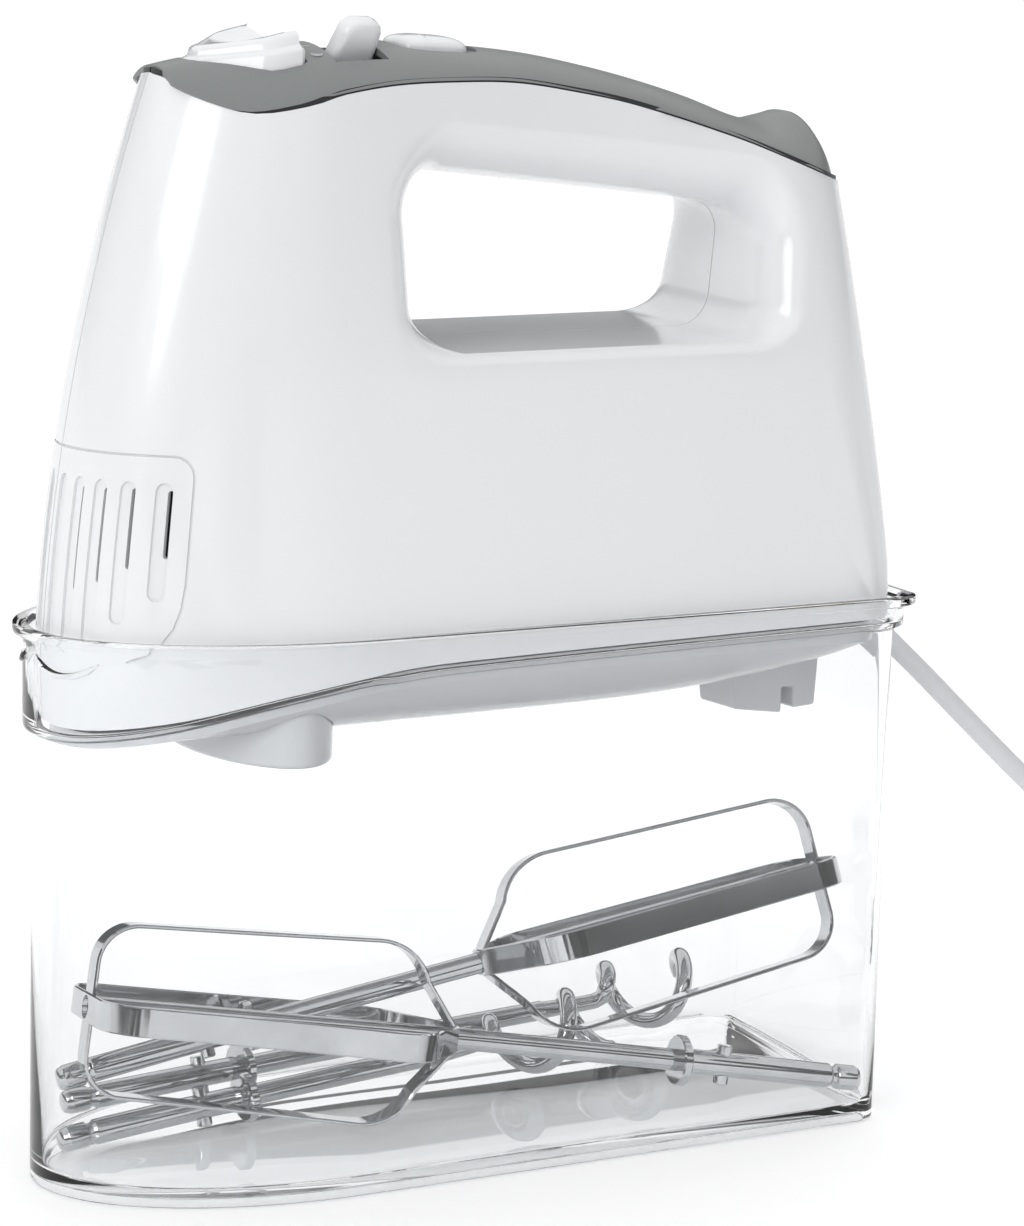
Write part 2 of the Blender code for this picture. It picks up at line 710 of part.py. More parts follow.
def plug():
    outline = [(195.0, -84.2), (195.0, -78.2), (186.0, -76.6), (178.0, -73.4), (162.0, -73.4), (160.0, -75.0),
               (160.0, -87.4), (162.0, -89.0), (178.0, -89.0), (186.0, -85.8)]
    shell = flat("plug_body", outline, 0.3, 13.7, CORD_PVC, corner=1.8)
    pins = []
    for name, y in (("plug_pin_left", -84.7), ("plug_pin_right", -77.7)):
        profile = [(0, 19.0), (1.4, 19.0), (2.0, 18.2), (2.0, 0), (0, 0)]
        pins.append(turned(name, profile, BRASS, start=(159.7, y, 7.0), direction=(-1, 0, 0), steps=16))
    return [shell] + pins


# ------------------------------------------------------------------ drive
def armature(axis):
    shaft = [(0, 130), (1.6, 130), (2.0, 129), (2.0, 118), (SHAFT_RADIUS, 118), (SHAFT_RADIUS, 12),
             (2.0, 12), (2.0, 1), (1.6, 0), (0, 0)]
    pieces = [turned("armature_shaft", shaft, STEEL, start=(-70, 0, DRIVE_Z), direction=(1, 0, 0))]
    bore = SHAFT_RADIUS + GAP
    core = [(12.6, 15), (12.6, -15), (bore, -15), (bore, 15)]
    pieces.append(turned("armature_core", core, IRON, start=(12, 0, DRIVE_Z), direction=(1, 0, 0), ring=True,
                         steps=28))
    windings = [(8.0, 4.5), (10.5, 2.0), (10.5, -4.0), (8.0, -4.5), (bore, -4.5), (bore, 4.5)]
    pieces.append(turned("armature_winding", windings, COPPER, start=(32, 0, DRIVE_Z), direction=(1, 0, 0),
                         ring=True))
    commutator = [(6.5, 5.5), (6.5, -5.5), (bore, -5.5), (bore, 5.5)]
    pieces.append(turned("commutator", commutator, BRASS, start=(43, 0, DRIVE_Z), direction=(1, 0, 0), ring=True))
    pieces += [worm(), fan()]
    for piece in pieces:
        piece.parent = axis
        piece.location -= axis.location


def worm():
    """Two-start right-handed worm: the same section, turned step by step along the shaft."""
    lead = 2 * math.pi * GEAR_RADIUS / GEAR_TEETH * WORM_STARTS
    thread = TOOTH / lead * 2 * math.pi
    section = []
    for start in range(WORM_STARTS):
        middle = 2 * math.pi * start / WORM_STARTS
        for offset, radius in ((-0.75 * thread, -DEDENDUM), (-0.27 * thread, ADDENDUM), (0.27 * thread, ADDENDUM),
                               (0.75 * thread, -DEDENDUM), (1.35 * thread, -DEDENDUM),
                               (math.pi / WORM_STARTS * 1.02, -DEDENDUM), (math.pi - 1.35 * thread, -DEDENDUM)):
            section.append((middle + offset, WORM_RADIUS + radius))
    section.sort()
    steps = 22
    outer, inner = [], []
    for step in range(steps + 1):
        turn = 4 * math.pi * step / steps
        x = GEAR_X - lead + lead * turn / (2 * math.pi)
        outer.append([(x, r * math.cos(a + turn), DRIVE_Z + r * math.sin(a + turn)) for a, r in section])
    for x in (outer[-1][0][0], outer[0][0][0]):
        inner.append([(x, (SHAFT_RADIUS + GAP) * math.cos(a), DRIVE_Z + (SHAFT_RADIUS + GAP) * math.sin(a))
                      for a, r in section])
    return lofted("worm", outer + inner, STEEL, ends="join")


def fan():
    hub = turned("cooling_fan", [(8, 5), (8, -5), (SHAFT_RADIUS + GAP, -5), (SHAFT_RADIUS + GAP, 5)], BLACK,
                 start=(-19, 0, DRIVE_Z), direction=(1, 0, 0), ring=True)
    for index in range(7):
        angle = 2 * math.pi * index / 7
        blade = box(f"fan_blade_{index}", (-4, -0.7, 6), (4, 0.7, 20.5))
        blade.location = Vector((-19, -13.2 * math.sin(angle), DRIVE_Z + 13.2 * math.cos(angle))) * MM
        spin = Matrix.Rotation(angle, 4, "X") @ Matrix.Rotation(math.radians(28), 4, "Z")
        blade.rotation_euler = spin.to_euler()
        boolean(hub, blade, "UNION")
    return hub


def drive_gear(side, axis):
    """Helical wheel on the worm: one tooth gap faces the worm."""
    half_pitch = math.pi / GEAR_TEETH
    lead_angle = math.atan2(GEAR_RADIUS / GEAR_TEETH * WORM_STARTS, WORM_RADIUS)
    twist = GEAR_WIDTH * math.tan(lead_angle) / GEAR_RADIUS
    outer, inner = [], []
    for level in (-0.5, 0.5):
        ring = []
        for tooth in range(GEAR_TEETH):
            middle = math.pi / 2 + half_pitch * (2 * tooth + 1) + twist * level
            for width, radius in ((-0.70, -DEDENDUM), (-0.24, ADDENDUM), (0.24, ADDENDUM), (0.70, -DEDENDUM)):
                angle = middle + width * TOOTH / GEAR_RADIUS
                ring.append((angle, GEAR_RADIUS + radius, level * GEAR_WIDTH))
        outer.append(ring)
    for ring in (outer[-1], outer[0]):
        inner.append([(angle, 3.3, z) for angle, _, z in ring])
    loops = [[(r * math.cos(a), r * math.sin(a), z) for a, r, z in ring] for ring in outer + inner]
    name = "left" if side < 0 else "right"
    gear = lofted(f"drive_gear_{name}", loops, NYLON, ends="join")
    return attach(gear, axis, (GEAR_X, side * GEAR_Y, DRIVE_Z))


def spindle(side, axis):
    profile = [(3.0, 146.2), (3.0, 127.5), (4.4, 127.5), (4.4, 97.0), (3.2, 97.0), (3.2, 121.0), (1.7, 122.5),
               (1.7, 146.2)]
    name = "left" if side < 0 else "right"
    piece = turned(f"spindle_{name}", [(r, z - DRIVE_Z) for r, z in profile], STEEL, ring=True)
    return attach(piece, axis, (GEAR_X, side * GEAR_Y, DRIVE_Z))


def motor():
    outline = [(-21.5, -14), (-14, -21.5), (14, -21.5), (21.5, -14), (21.5, 14), (14, 21.5), (-14, 21.5),
               (-21.5, 14)]
    stack = flat("stator_core", outline, -14, 14, IRON)
    stack.location = Vector((12, 0, DRIVE_Z)) * MM
    stack.rotation_euler = (0, math.pi / 2, 0)
    boolean(stack, cylinder("stator_bore", (-5, 0, DRIVE_Z), (30, 0, DRIVE_Z), 13.4, sides=28))
    for name, side in (("upper", 1), ("lower", -1)):
        low, high = sorted((DRIVE_Z + side * 14.5, DRIVE_Z + side * 20.5))
        box(f"field_coil_{name}", (26.4, -13, low), (36.0, 13, high), COPPER, 1.8)
    for name, side in (("left", -1), ("right", 1)):
        low, high = sorted((side * 8.4, side * 22.0))
        holder = box(f"brush_holder_{name}", (38.2, low, DRIVE_Z - 4.8), (47.8, high, DRIVE_Z + 4.8), BRASS)
        low, high = sorted((side * 5.0, side * 26.0))
        boolean(holder, box(f"brush_slot_{name}", (39.7, low, DRIVE_Z - 3.3), (46.3, high, DRIVE_Z + 3.3)))
        low, high = sorted((side * 6.9, side * 19.0))
        box(f"brush_{name}", (40.0, low, DRIVE_Z - 3.0), (46.0, high, DRIVE_Z + 3.0), CARBON)
    for name, x in (("front_bearing", -67.5), ("rear_bearing", 54.5)):
        bush = [(6.0, 3.0), (6.0, -3.0), (2.3, -3.0), (2.3, 3.0)]
        turned(name, bush, BRASS, start=(x, 0, DRIVE_Z), direction=(1, 0, 0), ring=True, steps=20)


def chassis():
    """Tray that carries the motor, its bearings and the gearbox; the lower cover is screwed to it."""
    tray = box("motor_chassis", (-72, -12, 106.4), (62.6, 12, 109.4), NYLON)
    for index, (x0, x1) in enumerate(((-71.8, -62.4), (50.2, 58.8))):
        boolean(tray, box(f"bearing_post_{index}", (x0, -9, 108), (x1, 9, 143)), "UNION")
        boolean(tray, cylinder(f"bearing_seat_{index}", (x0 - 1, 0, DRIVE_Z), (x1 + 1, 0, DRIVE_Z), 6.3,
                               sides=20))
    for index, x in enumerate((0.5, 23.5)):
        boolean(tray, box(f"stator_rest_{index}", (x - 1.5, -11, 108), (x + 1.5, 11, DRIVE_Z - 21.8)), "UNION")
    boolean(tray, box("boss_clearance", (GEAR_X - 15, -30, 100), (GEAR_X + 15, 30, 108.4)))
    boolean(tray, box("spindle_clearance", (GEAR_X - 6, 11.4, 100), (GEAR_X + 6, 14, 116)))
    for index, x in enumerate(SCREW_X):
        boolean(tray, cylinder(f"chassis_hole_{index}", (x, 0, 100), (x, 0, 120), 1.8, sides=16))
    return tray


def gearbox_plate():
    plate = box("gearbox_plate", (-66, -26.5, 143.4), (-34, 26.5, 145.6), STEEL)
    for side in (-1, 1):
        centre = (GEAR_X, side * GEAR_Y)
        boolean(plate, cylinder(f"plate_hole_{side}", (*centre, 140), (*centre, 150), 3.3, sides=20))
    return plate


# ------------------------------------------------------------------ controls
def eject_outline(grow):
    """Plan of the eject button: a blunt point forwards and a straight back."""
    half = [(-66.3 - grow, 0), (-65.9 - grow, 2.6), (-64.4 - grow, 4.8 + grow * 0.6), (-54.6, 13.2 + grow),
            (-52.6, 14.6 + grow), (-50.2, 15.0 + grow), (-45.6, 15.0 + grow), (-44.6 + grow, 14.0 + grow)]
    near = [(x, -y) for x, y in half]
    return near + [(x, y) for x, y in reversed(half[1:])]


def eject_button(axis):
    rows = [(0.0, 236.5, 0.0), (0.0, 245.2, 0.16), (1.0, 246.2, 0.18), (2.2, 246.6, 0.20), (2.6, 247.6, 0.22),
            (3.4, 248.0, 0.22)]
    loops = []
    for inset, z, slope in rows:
        loops.append([(x, y, z + slope * (x + 56)) for x, y in eject_outline(-inset)])
    cap = lofted("eject_button", loops, WHITE)
    scoop = cylinder("thumb_scoop", (-58, 0, 262.5), (-46, 0, 264.5), 16.5, sides=32)
    boolean(cap, scoop)
    cap.parent = axis
    cap.location -= axis.location
    return cap


def ejector_fork(axis):
    bar = box("ejector_fork", (GEAR_X - 3.5, -20, 152.8), (GEAR_X + 3.5, 20, 155.8), NYLON)
    for side in (-1, 1):
        centre = (GEAR_X, side * GEAR_Y)
        boolean(bar, cylinder(f"ejector_pin_{side}", (*centre, 141), (*centre, 154.0), 1.25, sides=12), "UNION")
    boolean(bar, cylinder("ejector_stem", (GEAR_X, 0, 154), (GEAR_X, 0, 236.1), 2.4, sides=16), "UNION")
    boolean(bar, cylinder("spring_collar", (GEAR_X, 0, 228), (GEAR_X, 0, 230), 5.7, sides=20), "UNION")
    bar.parent = axis
    bar.location -= axis.location
    return bar


def eject_spring():
    low, high, turns, per_turn = 204.2, 227.1, 5, 8
    points = []
    for i in range(turns * per_turn + 1):
        angle = 2 * math.pi * i / per_turn
        points.append((GEAR_X + 4.6 * math.cos(angle), 4.6 * math.sin(angle),
                       low + (high - low) * i / (turns * per_turn)))
    return wire("eject_spring", points, 0.55, STEEL, sides=0)


def eject_guide():
    guide = box("eject_guide", (GEAR_X - 9, -17, 200.4), (GEAR_X + 9, 17, 203.4), NYLON)
    return boolean(guide, cylinder("guide_hole", (GEAR_X, 0, 198), (GEAR_X, 0, 206), 2.8, sides=16))


def speed_lever(axis):
    """Paddle on a round hub, drawn upright about the hinge and leaned by its parent's rest angle."""
    outline = [(-6.4, 3.0), (4.4, 3.0), (6.0, 20.0), (7.0, 26.6), (6.2, 28.4), (4.4, 29.4), (0.6, 29.4),
               (-1.2, 28.4), (-2.2, 26.6), (-4.4, 20.0)]
    paddle = side_plate("speed_lever", outline, -2.6, 2.6, WHITE)
    bevel(paddle, 1.1)
    hub = cylinder("lever_hub", (-6.2, 0, 0), (2.6, 0, 0), 6.0, sides=24)
    boolean(paddle, hub, "UNION")
    lean = math.radians(LEVER_ANGLE)
    paddle.rotation_euler = (math.pi / 2 + lean, 0, 0)
    paddle.parent = axis
    hub.location = Vector((LEVER_X - 6.2, 0, LEVER_AXIS_Z)) * MM
    return paddle


def turbo_button(axis):
    loops = []
    for inset, z in ((0.2, 243.6), (0.0, 244.2), (0.0, 246.6), (1.0, 247.8), (3.2, 248.6), (6.0, 248.9)):
        ring = oval(-9.6, -1, 8.5 - inset, 8.5 - inset, 24)
        loops.append([(x, y, z - 0.055 * (x + 9.6)) for x, y in ring])
    cap = lofted("turbo_button", loops, WHITE)
    boolean(cap, cylinder("turbo_stem", (-9.6, -1, 241.2), (-9.6, -1, 245), 2.0, sides=16), "UNION")
    cap.parent = axis
    cap.location -= axis.location
    return cap


def electrics():
    box("speed_switch", (-43.4, -10, 215), (-38.7, 10, 232), BLACK, 0.8)
    box("turbo_microswitch", (-15, -5, 231.5), (-4.5, 3, 238.4), BLACK, 0.5)
    box("circuit_board", (4, -12, 227.4), (40, 12, 229.0), BOARD)
    cylinder("capacitor", (12, 4, 232.8), (30, 4, 232.8), 3.4, BRASS, sides=20)


# ------------------------------------------------------------------ beaters and dough hooks
def shank_scales(distances, radius):
    """Tip rounding and detent groove of a shank, as multiples of the wire's radius."""
    def scale(s):
        if s < 0.05:
            return 0.55
        if s < 1.0:
            return 0.86
        if 6.4 < s < 8.2:
            return 0.78
        return 1.0
    return [scale(s) * (SHANK_RADIUS if s < SHANK_LENGTH else radius) / radius for s in distances]


def along(start, end, distance):
    start, end = Vector(start), Vector(end)
    return start + (end - start).normalized() * distance


def shaft(name, start, end, distances, radius, extra=()):
    points = [along(start, end, s) for s in distances] + [Vector(point) for point in extra]
    scales = shank_scales(distances, radius) + [HOOK_ROD / radius] * len(extra)
    rod = meshed(wire(name, points, radius, CHROME, sides=2, scales=scales), CHROME)
    axis = (Vector(end) - Vector(start)).normalized()
    across = axis.cross(Vector((0.47, 0.86, -0.19))).normalized()
    pin = along(start, end, SHANK_LENGTH - 9)
    boolean(rod, cylinder(name + "_lug", pin - across * 4.6, pin + across * 4.6, 1.7, sides=12), "UNION")
    return rod


def stop_collar(name, start, end, radius):
    """Disc that stops a shank in its socket."""
    profile = [(COLLAR_RADIUS, 1.1), (COLLAR_RADIUS, -1.1), (radius + GAP, -1.1), (radius + GAP, 1.1)]
    direction = Vector(end) - Vector(start)
    return turned(name, profile, CHROME, start=along(start, end, SHANK_LENGTH + 1.8), direction=direction,
                  ring=True)


def cage_profile(lift):
    """One loop of a beater's cage: distance from the tip, and half width."""
    width, length, corner = CAGE_HALF_WIDTH + lift, CAGE_LENGTH, 9.0
    points = [(-lift, 2.6), (-lift, width - corner - 2.0)]
    for step in range(1, 5):
        angle = math.pi / 2 * step / 4
        points.append((corner - lift - corner * math.cos(angle), width - corner - 2.0 + corner * math.sin(angle)))
    points.append((length * 0.5, width - 0.6))
    for step in range(5):
        angle = math.radians(70) * step / 4
        points.append((length - 20 + 13 * math.sin(angle), width - 13 + 13 * math.cos(angle)))
    points.append((length + lift, 2.6))
    return points


def cage_strip(name, tip, toward, flat_side, lift):
    """A flat strip bent round in a loop, as a closed ribbon with the strip's thickness."""
    axis = (Vector(toward) - Vector(tip)).normalized()
    side = flat_side.cross(axis).normalized()
    half = cage_profile(lift)
    whole = half + [(s, -w) for s, w in reversed(half)]
    middle = [Vector(tip) + axis * s + side * w for s, w in whole]
    loops = []
    for index, point in enumerate(middle):
        before, after = middle[index - 1], middle[(index + 1) % len(middle)]
        outward = (after - before).normalized().cross(flat_side).normalized() * (STRIP_THICK / 2)
        edge = flat_side * (STRIP_WIDTH / 2)
        loops.append([point - outward - edge, point + outward - edge, point + outward + edge,
                      point - outward + edge])
    return lofted(name, loops, CHROME, ends="join")


def beater(index, tip, end, view):
    """Centre rod, two crossed strips and stop collar; tip is the cage's end."""
    axis = (Vector(end) - Vector(tip)).normalized()
    end = Vector(tip) + axis * BEATER_LENGTH
    flat_side = (view - axis * view.dot(axis)).normalized()
    other_side = axis.cross(flat_side).normalized()
    distances = [0, 0.8, 1.6, 6.2, 6.6, 8.0, 8.4, 20, SHANK_LENGTH - 0.1, SHANK_LENGTH + 0.1, 70, 100,
                 BEATER_LENGTH - 8, BEATER_LENGTH - 1.4]
    shaft(f"beater_{index}_rod", end, tip, distances, ROD_RADIUS)
    stop_collar(f"beater_{index}_collar", end, tip, ROD_RADIUS)
    cage = cage_strip(f"beater_{index}_cage", tip, end, flat_side, 0.0)
    boolean(cage, cage_strip(f"beater_{index}_crossed_strip", tip, end, other_side, 0.5), "UNION")
    bore = cylinder(f"beater_{index}_bore", Vector(tip) - axis * 5, Vector(tip) + axis * (CAGE_LENGTH + 5),
                    ROD_RADIUS + GAP, sides=20)
    return boolean(cage, bore)


def dough_hook(index, start, toward, coil_start, turns, phase):
    """Shank and straight rod that ends in a spiral about its own axis."""
    axis = (Vector(toward) - Vector(start)).normalized()
    up = Vector((0, 0, 1))
    side = axis.cross(up).normalized()
    up = side.cross(axis).normalized()
    distances = [0, 0.8, 1.6, 6.2, 6.6, 8.0, 8.4, 20, SHANK_LENGTH - 0.1, SHANK_LENGTH + 0.1, 70,
                 coil_start - 12]
    pitch, per_turn = 21.0, 12
    spiral = []
    for i in range(round(turns * per_turn) + 1):
        angle = phase + 2 * math.pi * i / per_turn
        grow = ease((i + 1) / 4)
        middle = along(start, toward, coil_start + pitch * i / per_turn)
        spiral.append(middle + (side * math.cos(angle) + up * math.sin(angle)) * HOOK_RADIUS * grow)
    shaft(f"dough_hook_{index}", start, toward, distances, ROD_RADIUS, extra=spiral)
    return stop_collar(f"dough_hook_{index}_collar", start, toward, ROD_RADIUS)


# ------------------------------------------------------------------ assembly
VIEW = Vector((0.465, 0.843, -0.192)).normalized()


def build():
    storage_case()
    for name, side in (("housing_left", -1), ("housing_right", 1)):
        housing_half(name, side)
    top_cover()
    lower_cover()
    socket_boss()
    rear_foot()
    for index, x in enumerate(SCREW_X):
        hull_screw(index + 1, x)
    strain_relief()
    wire("power_cord", spline_points(CORD_ROUTE, CORD * 1.8), CORD / 2, CORD_PVC)
    wire("cord_tail", TAIL_ROUTE, CORD / 2, CORD_PVC)
    coil_solid()
    cord_tie()
    plug()
    armature(body("armature_axis", (GEAR_X, 0, DRIVE_Z)))
    for name, side in (("left", -1), ("right", 1)):
        axis = body(f"spindle_axis_{name}", (GEAR_X, side * GEAR_Y, DRIVE_Z))
        drive_gear(side, axis)
        spindle(side, axis)
    motor()
    chassis()
    gearbox_plate()
    eject_axis = body("eject_axis", (GEAR_X, 0, 240))
    eject_button(eject_axis)
    ejector_fork(eject_axis)
    eject_spring()
    eject_guide()
    speed_lever(body("lever_axis", (LEVER_X, 0, LEVER_AXIS_Z)))
    turbo_button(body("turbo_axis", (-9.6, -1, 244)))
    electrics()
    beater(1, (-86.0, 0.0, 38.8), (95.6, -30.0, 8.2), VIEW)
    beater(2, (90.7, -14.0, 55.3), (-87.0, 9.0, 20.0), VIEW)
    dough_hook(1, (-92.0, 3.0, 7.6), (30.0, 5.0, 16.3), 108, 1.6, math.radians(90))
    dough_hook(2, (-88.5, 10.8, 13.2), (75.0, 20.2, 18.2), 140, 1.5, math.radians(20))


build()
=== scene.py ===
# %% [markdown]
# # A hand mixer that stands in its clear storage case
#
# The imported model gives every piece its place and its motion.  This file gives the pieces their looks.
# It is read from top to bottom: first the view and the cord, then the shells, the controls, the case
# and the tools, and at the end the finishes, the light and the floor.

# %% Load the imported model
import json
import math

import bmesh
import bpy
from mathutils import Matrix, Vector


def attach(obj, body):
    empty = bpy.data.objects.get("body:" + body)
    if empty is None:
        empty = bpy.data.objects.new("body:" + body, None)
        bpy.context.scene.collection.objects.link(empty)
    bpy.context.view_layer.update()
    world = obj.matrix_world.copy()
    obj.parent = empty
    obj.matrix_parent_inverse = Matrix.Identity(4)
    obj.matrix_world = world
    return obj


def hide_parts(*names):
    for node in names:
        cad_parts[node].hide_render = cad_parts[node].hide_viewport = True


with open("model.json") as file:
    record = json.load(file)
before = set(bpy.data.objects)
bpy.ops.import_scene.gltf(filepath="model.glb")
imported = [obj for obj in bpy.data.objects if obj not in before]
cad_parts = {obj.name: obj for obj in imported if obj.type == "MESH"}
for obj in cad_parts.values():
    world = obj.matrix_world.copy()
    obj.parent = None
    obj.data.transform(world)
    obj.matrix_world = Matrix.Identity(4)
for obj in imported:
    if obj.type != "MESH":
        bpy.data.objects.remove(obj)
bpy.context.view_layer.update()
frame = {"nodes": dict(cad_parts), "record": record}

# %% [markdown]
# ## Units
#
# A mixer is drawn in millimetres, and Blender counts in metres.  All the sizes below are written in
# millimetres, and MM turns a point into metres at the moment when it enters a mesh.

# %% Sizes
MM = 0.001
CORD = 4.8
RELIEF_START = Vector((91.5, 0.0, 129.1))
RELIEF_DIRECTION = Vector((0.748, 0.0, -0.664)).normalized()
RELIEF_LENGTH = 34.0
COIL_CENTRE = Vector((205.0, -45.0, 0.0))
GEAR_X, GEAR_Y = -49.5, 16.9
HOUSING_BODY, CASE_BODY = "mixer_housing", "storage_case"
SIDE_NAMES = {-1: "near", 1: "far"}


def clamp(value, low=0.0, high=1.0):
    return max(low, min(high, value))


def ease(value):
    value = clamp(value)
    return value * value * (3 - 2 * value)


def between(start, end, share):
    return start[0] + (end[0] - start[0]) * share, start[1] + (end[1] - start[1]) * share


def heading(start, end):
    return (Vector(end) - Vector(start)).normalized()


# %% [markdown]
# ## The view
#
# Three angles say how the camera stands: how far it has gone round the object, how far above the level
# it is, and how much it is tilted about its own axis.  A long lens keeps the far side nearly as large
# as the near side.

# %% Camera
AZIMUTH, ELEVATION, ROLL = math.radians(-28.87), math.radians(11.07), math.radians(1.50)
back = Vector((math.sin(AZIMUTH) * math.cos(ELEVATION), -math.cos(AZIMUTH) * math.cos(ELEVATION),
               math.sin(ELEVATION)))
level_right = Vector((math.cos(AZIMUTH), math.sin(AZIMUTH), 0))
level_up = back.cross(level_right)
right = level_right * math.cos(ROLL) + level_up * math.sin(ROLL)
up = level_up * math.cos(ROLL) - level_right * math.sin(ROLL)
lens = bpy.data.cameras.new("camera")
lens.sensor_width = 36.0
lens.sensor_fit = "AUTO"
lens.lens = 128.3
camera = bpy.data.objects.new("camera", lens)
bpy.context.scene.collection.objects.link(camera)
camera.matrix_world = Matrix((right, up, back)).transposed().to_4x4()
camera.location = (-0.44924, -0.84430, 0.30763)
bpy.context.scene.camera = camera
print("camera at", [round(v, 3) for v in camera.location])

# %% [markdown]
# ## Finishes as sums
#
# A procedural material is a small sum: a base colour, plus a little noise, times a mask.  Value wraps
# a socket so that such a sum can be written in Python, and each operator adds its Math node.  Finish
# holds one material and makes any other node from its type, its settings and its inputs.


# %% Value and Finish
class Value:
    def __init__(self, finish, socket):
        self.finish = finish
        self.socket = socket

    def math(self, operation, other):
        return self.finish.node("ShaderNodeMath", {"operation": operation}, self, other)

    def __add__(self, other):
        return self.math("ADD", other)

    def __mul__(self, other):
        return self.math("MULTIPLY", other)

    __radd__ = __add__
    __rmul__ = __mul__


class Finish:
    def __init__(self, name, colour, roughness, metallic=0.0, **constants):
        self.slot = name
        self.material = bpy.data.materials.new(name)
        self.material.use_nodes = True
        self.tree = self.material.node_tree
        self.shader = self.tree.nodes["Principled BSDF"]
        self.set("Base Color", (*colour, 1.0))
        self.set("Roughness", roughness)
        self.set("Metallic", metallic)
        for socket_name, value in constants.items():
            self.set(socket_name.replace("_", " "), value)
        self.place = self.node("ShaderNodeTexCoord", {}, output="Object")

    def set(self, name, value):
        if isinstance(value, Value):
            self.tree.links.new(value.socket, self.shader.inputs[name])
        else:
            self.shader.inputs[name].default_value = value

    def node(self, kind, settings, *inputs, output=0, at=(), **named):
        made = self.tree.nodes.new(kind)
        for key, value in settings.items():
            setattr(made, key, value)
        by_name = [(key.replace("_", " "), value) for key, value in named.items()]
        for key, value in [*enumerate(inputs), *at, *by_name]:
            if isinstance(value, Value):
                self.tree.links.new(value.socket, made.inputs[key])
            else:
                made.inputs[key].default_value = value
        return Value(self, made.outputs[output])

    def noise(self, scale, detail=3.0):
        return self.node("ShaderNodeTexNoise", {}, Vector=self.place, Scale=scale, Detail=detail,
                         Roughness=0.55, output="Fac")

    def mix(self, factor, first, second):
        """A colour between two; the sockets have doubles of the same name, so they go by number."""
        first, second = (c if isinstance(c, Value) else (*c, 1.0) for c in (first, second))
        return self.node("ShaderNodeMix", {"data_type": "RGBA"}, output=2,
                         at=((0, factor), (6, first), (7, second)))

    def bump(self, height, distance, strength=1.0):
        self.set("Normal", self.node("ShaderNodeBump", {}, Strength=strength, Distance=distance,
                                     Height=height, output="Normal"))
        return self


# %% [markdown]
# ## The plastics
#
# Gloss ABS isn't a mirror: it has a faint orange-peel ripple from the mould and a roughness that
# drifts by a few hundredths.  The grey cover is spark-eroded in the mould, which leaves a fine even
# grain.  The hull and the socket housing are a plainer satin.


# %% Plastic finishes
def gloss_white(name, colour, roughness=0.16):
    made = Finish(name, colour, roughness, Specular_IOR_Level=0.5, Coat_Weight=0.25, Coat_Roughness=0.06)
    drift = made.noise(38.0, 2.0)
    made.set("Roughness", drift * 0.07 + (roughness - 0.03))
    made.set("Base Color", made.mix(made.noise(14.0, 2.0), tuple(c * 0.985 for c in colour), colour))
    return made.bump(made.noise(420.0, 1.0), 0.00002, 0.35)


def satin(name, colour, roughness, grain=2600.0, depth=0.00004):
    made = Finish(name, colour, roughness, Specular_IOR_Level=0.45)
    made.set("Roughness", made.noise(60.0, 3.0) * 0.10 + (roughness - 0.05))
    made.set("Base Color", made.mix(made.noise(900.0, 2.0), tuple(c * 0.95 for c in colour), colour))
    return made.bump(made.noise(grain, 2.0), depth, 0.5)


WHITE = gloss_white("white_gloss_plastic", (0.80, 0.808, 0.822))
GREY = satin("grey_satin_plastic", (0.205, 0.215, 0.215), 0.40)
PALE = satin("pale_grey_plastic", (0.66, 0.67, 0.69), 0.17, 900.0, 0.00002)
NYLON = satin("nylon", (0.72, 0.70, 0.62), 0.48, 500.0)
BLACK = satin("black_plastic", (0.022, 0.022, 0.024), 0.45, 1800.0)
CARBON = satin("carbon", (0.030, 0.030, 0.033), 0.70, 1500.0)
CORD_PVC = satin("cord_pvc", (0.74, 0.75, 0.77), 0.36, 700.0, 0.00003)
# The near-black sheet behind the vent slots is painted shade for the housing's dark inside.
VENT_SHADE = satin("vent_painted_shade", (0.006, 0.006, 0.007), 0.85, 900.0)
MARK = satin("mark_print", (0.70, 0.71, 0.72), 0.5, 900.0)
print("plastics made")

# %% [markdown]
# ## The metals
#
# Bright chrome over a polished strip still shows faint drawing lines along the strip and a little
# haze.  Machined steel has turning marks, so its roughness runs in fine bands.  The armature and the
# stator are stacks of thin plates, and their edges show as close parallel lines across the shaft.


# %% Metal finishes
def chrome():
    made = Finish("chrome", (0.80, 0.81, 0.82), 0.07, 1.0)
    haze = made.noise(55.0, 4.0)
    made.set("Roughness", haze * 0.10 + 0.02)
    made.set("Base Color", made.mix(haze, (0.36, 0.37, 0.38), (0.66, 0.67, 0.68)))
    return made.bump(made.noise(160.0, 2.0), 0.00003, 0.1)


def lined_metal(name, colour, roughness, scale, pitch, depth=0.00003):
    """Metal whose surface runs in fine lines across the object's X axis."""
    made = Finish(name, colour, roughness, 1.0)
    lines = made.node("ShaderNodeTexWave", {"bands_direction": "X"}, Vector=made.place, Scale=pitch,
                      Distortion=0.6, Detail=2.0, output="Fac")
    made.set("Roughness", lines * 0.12 + (roughness - 0.06))
    made.set("Base Color", made.mix(made.noise(scale), tuple(c * 0.8 for c in colour), colour))
    return made.bump(lines, depth, 0.5)


CHROME = chrome()
STEEL = lined_metal("machined_steel", (0.56, 0.57, 0.59), 0.28, 90.0, 900.0)
IRON = lined_metal("lamination_steel", (0.25, 0.25, 0.27), 0.45, 120.0, 300.0, 0.00008)
COPPER = lined_metal("enamelled_copper", (0.66, 0.28, 0.11), 0.30, 200.0, 350.0, 0.0002)
BRASS = lined_metal("brass", (0.78, 0.60, 0.28), 0.26, 100.0, 800.0)
print("metals made")

# %% [markdown]
# ## The circuit board
#
# Green solder resist over copper tracks: a brick pattern, stretched long, stands for the tracks.


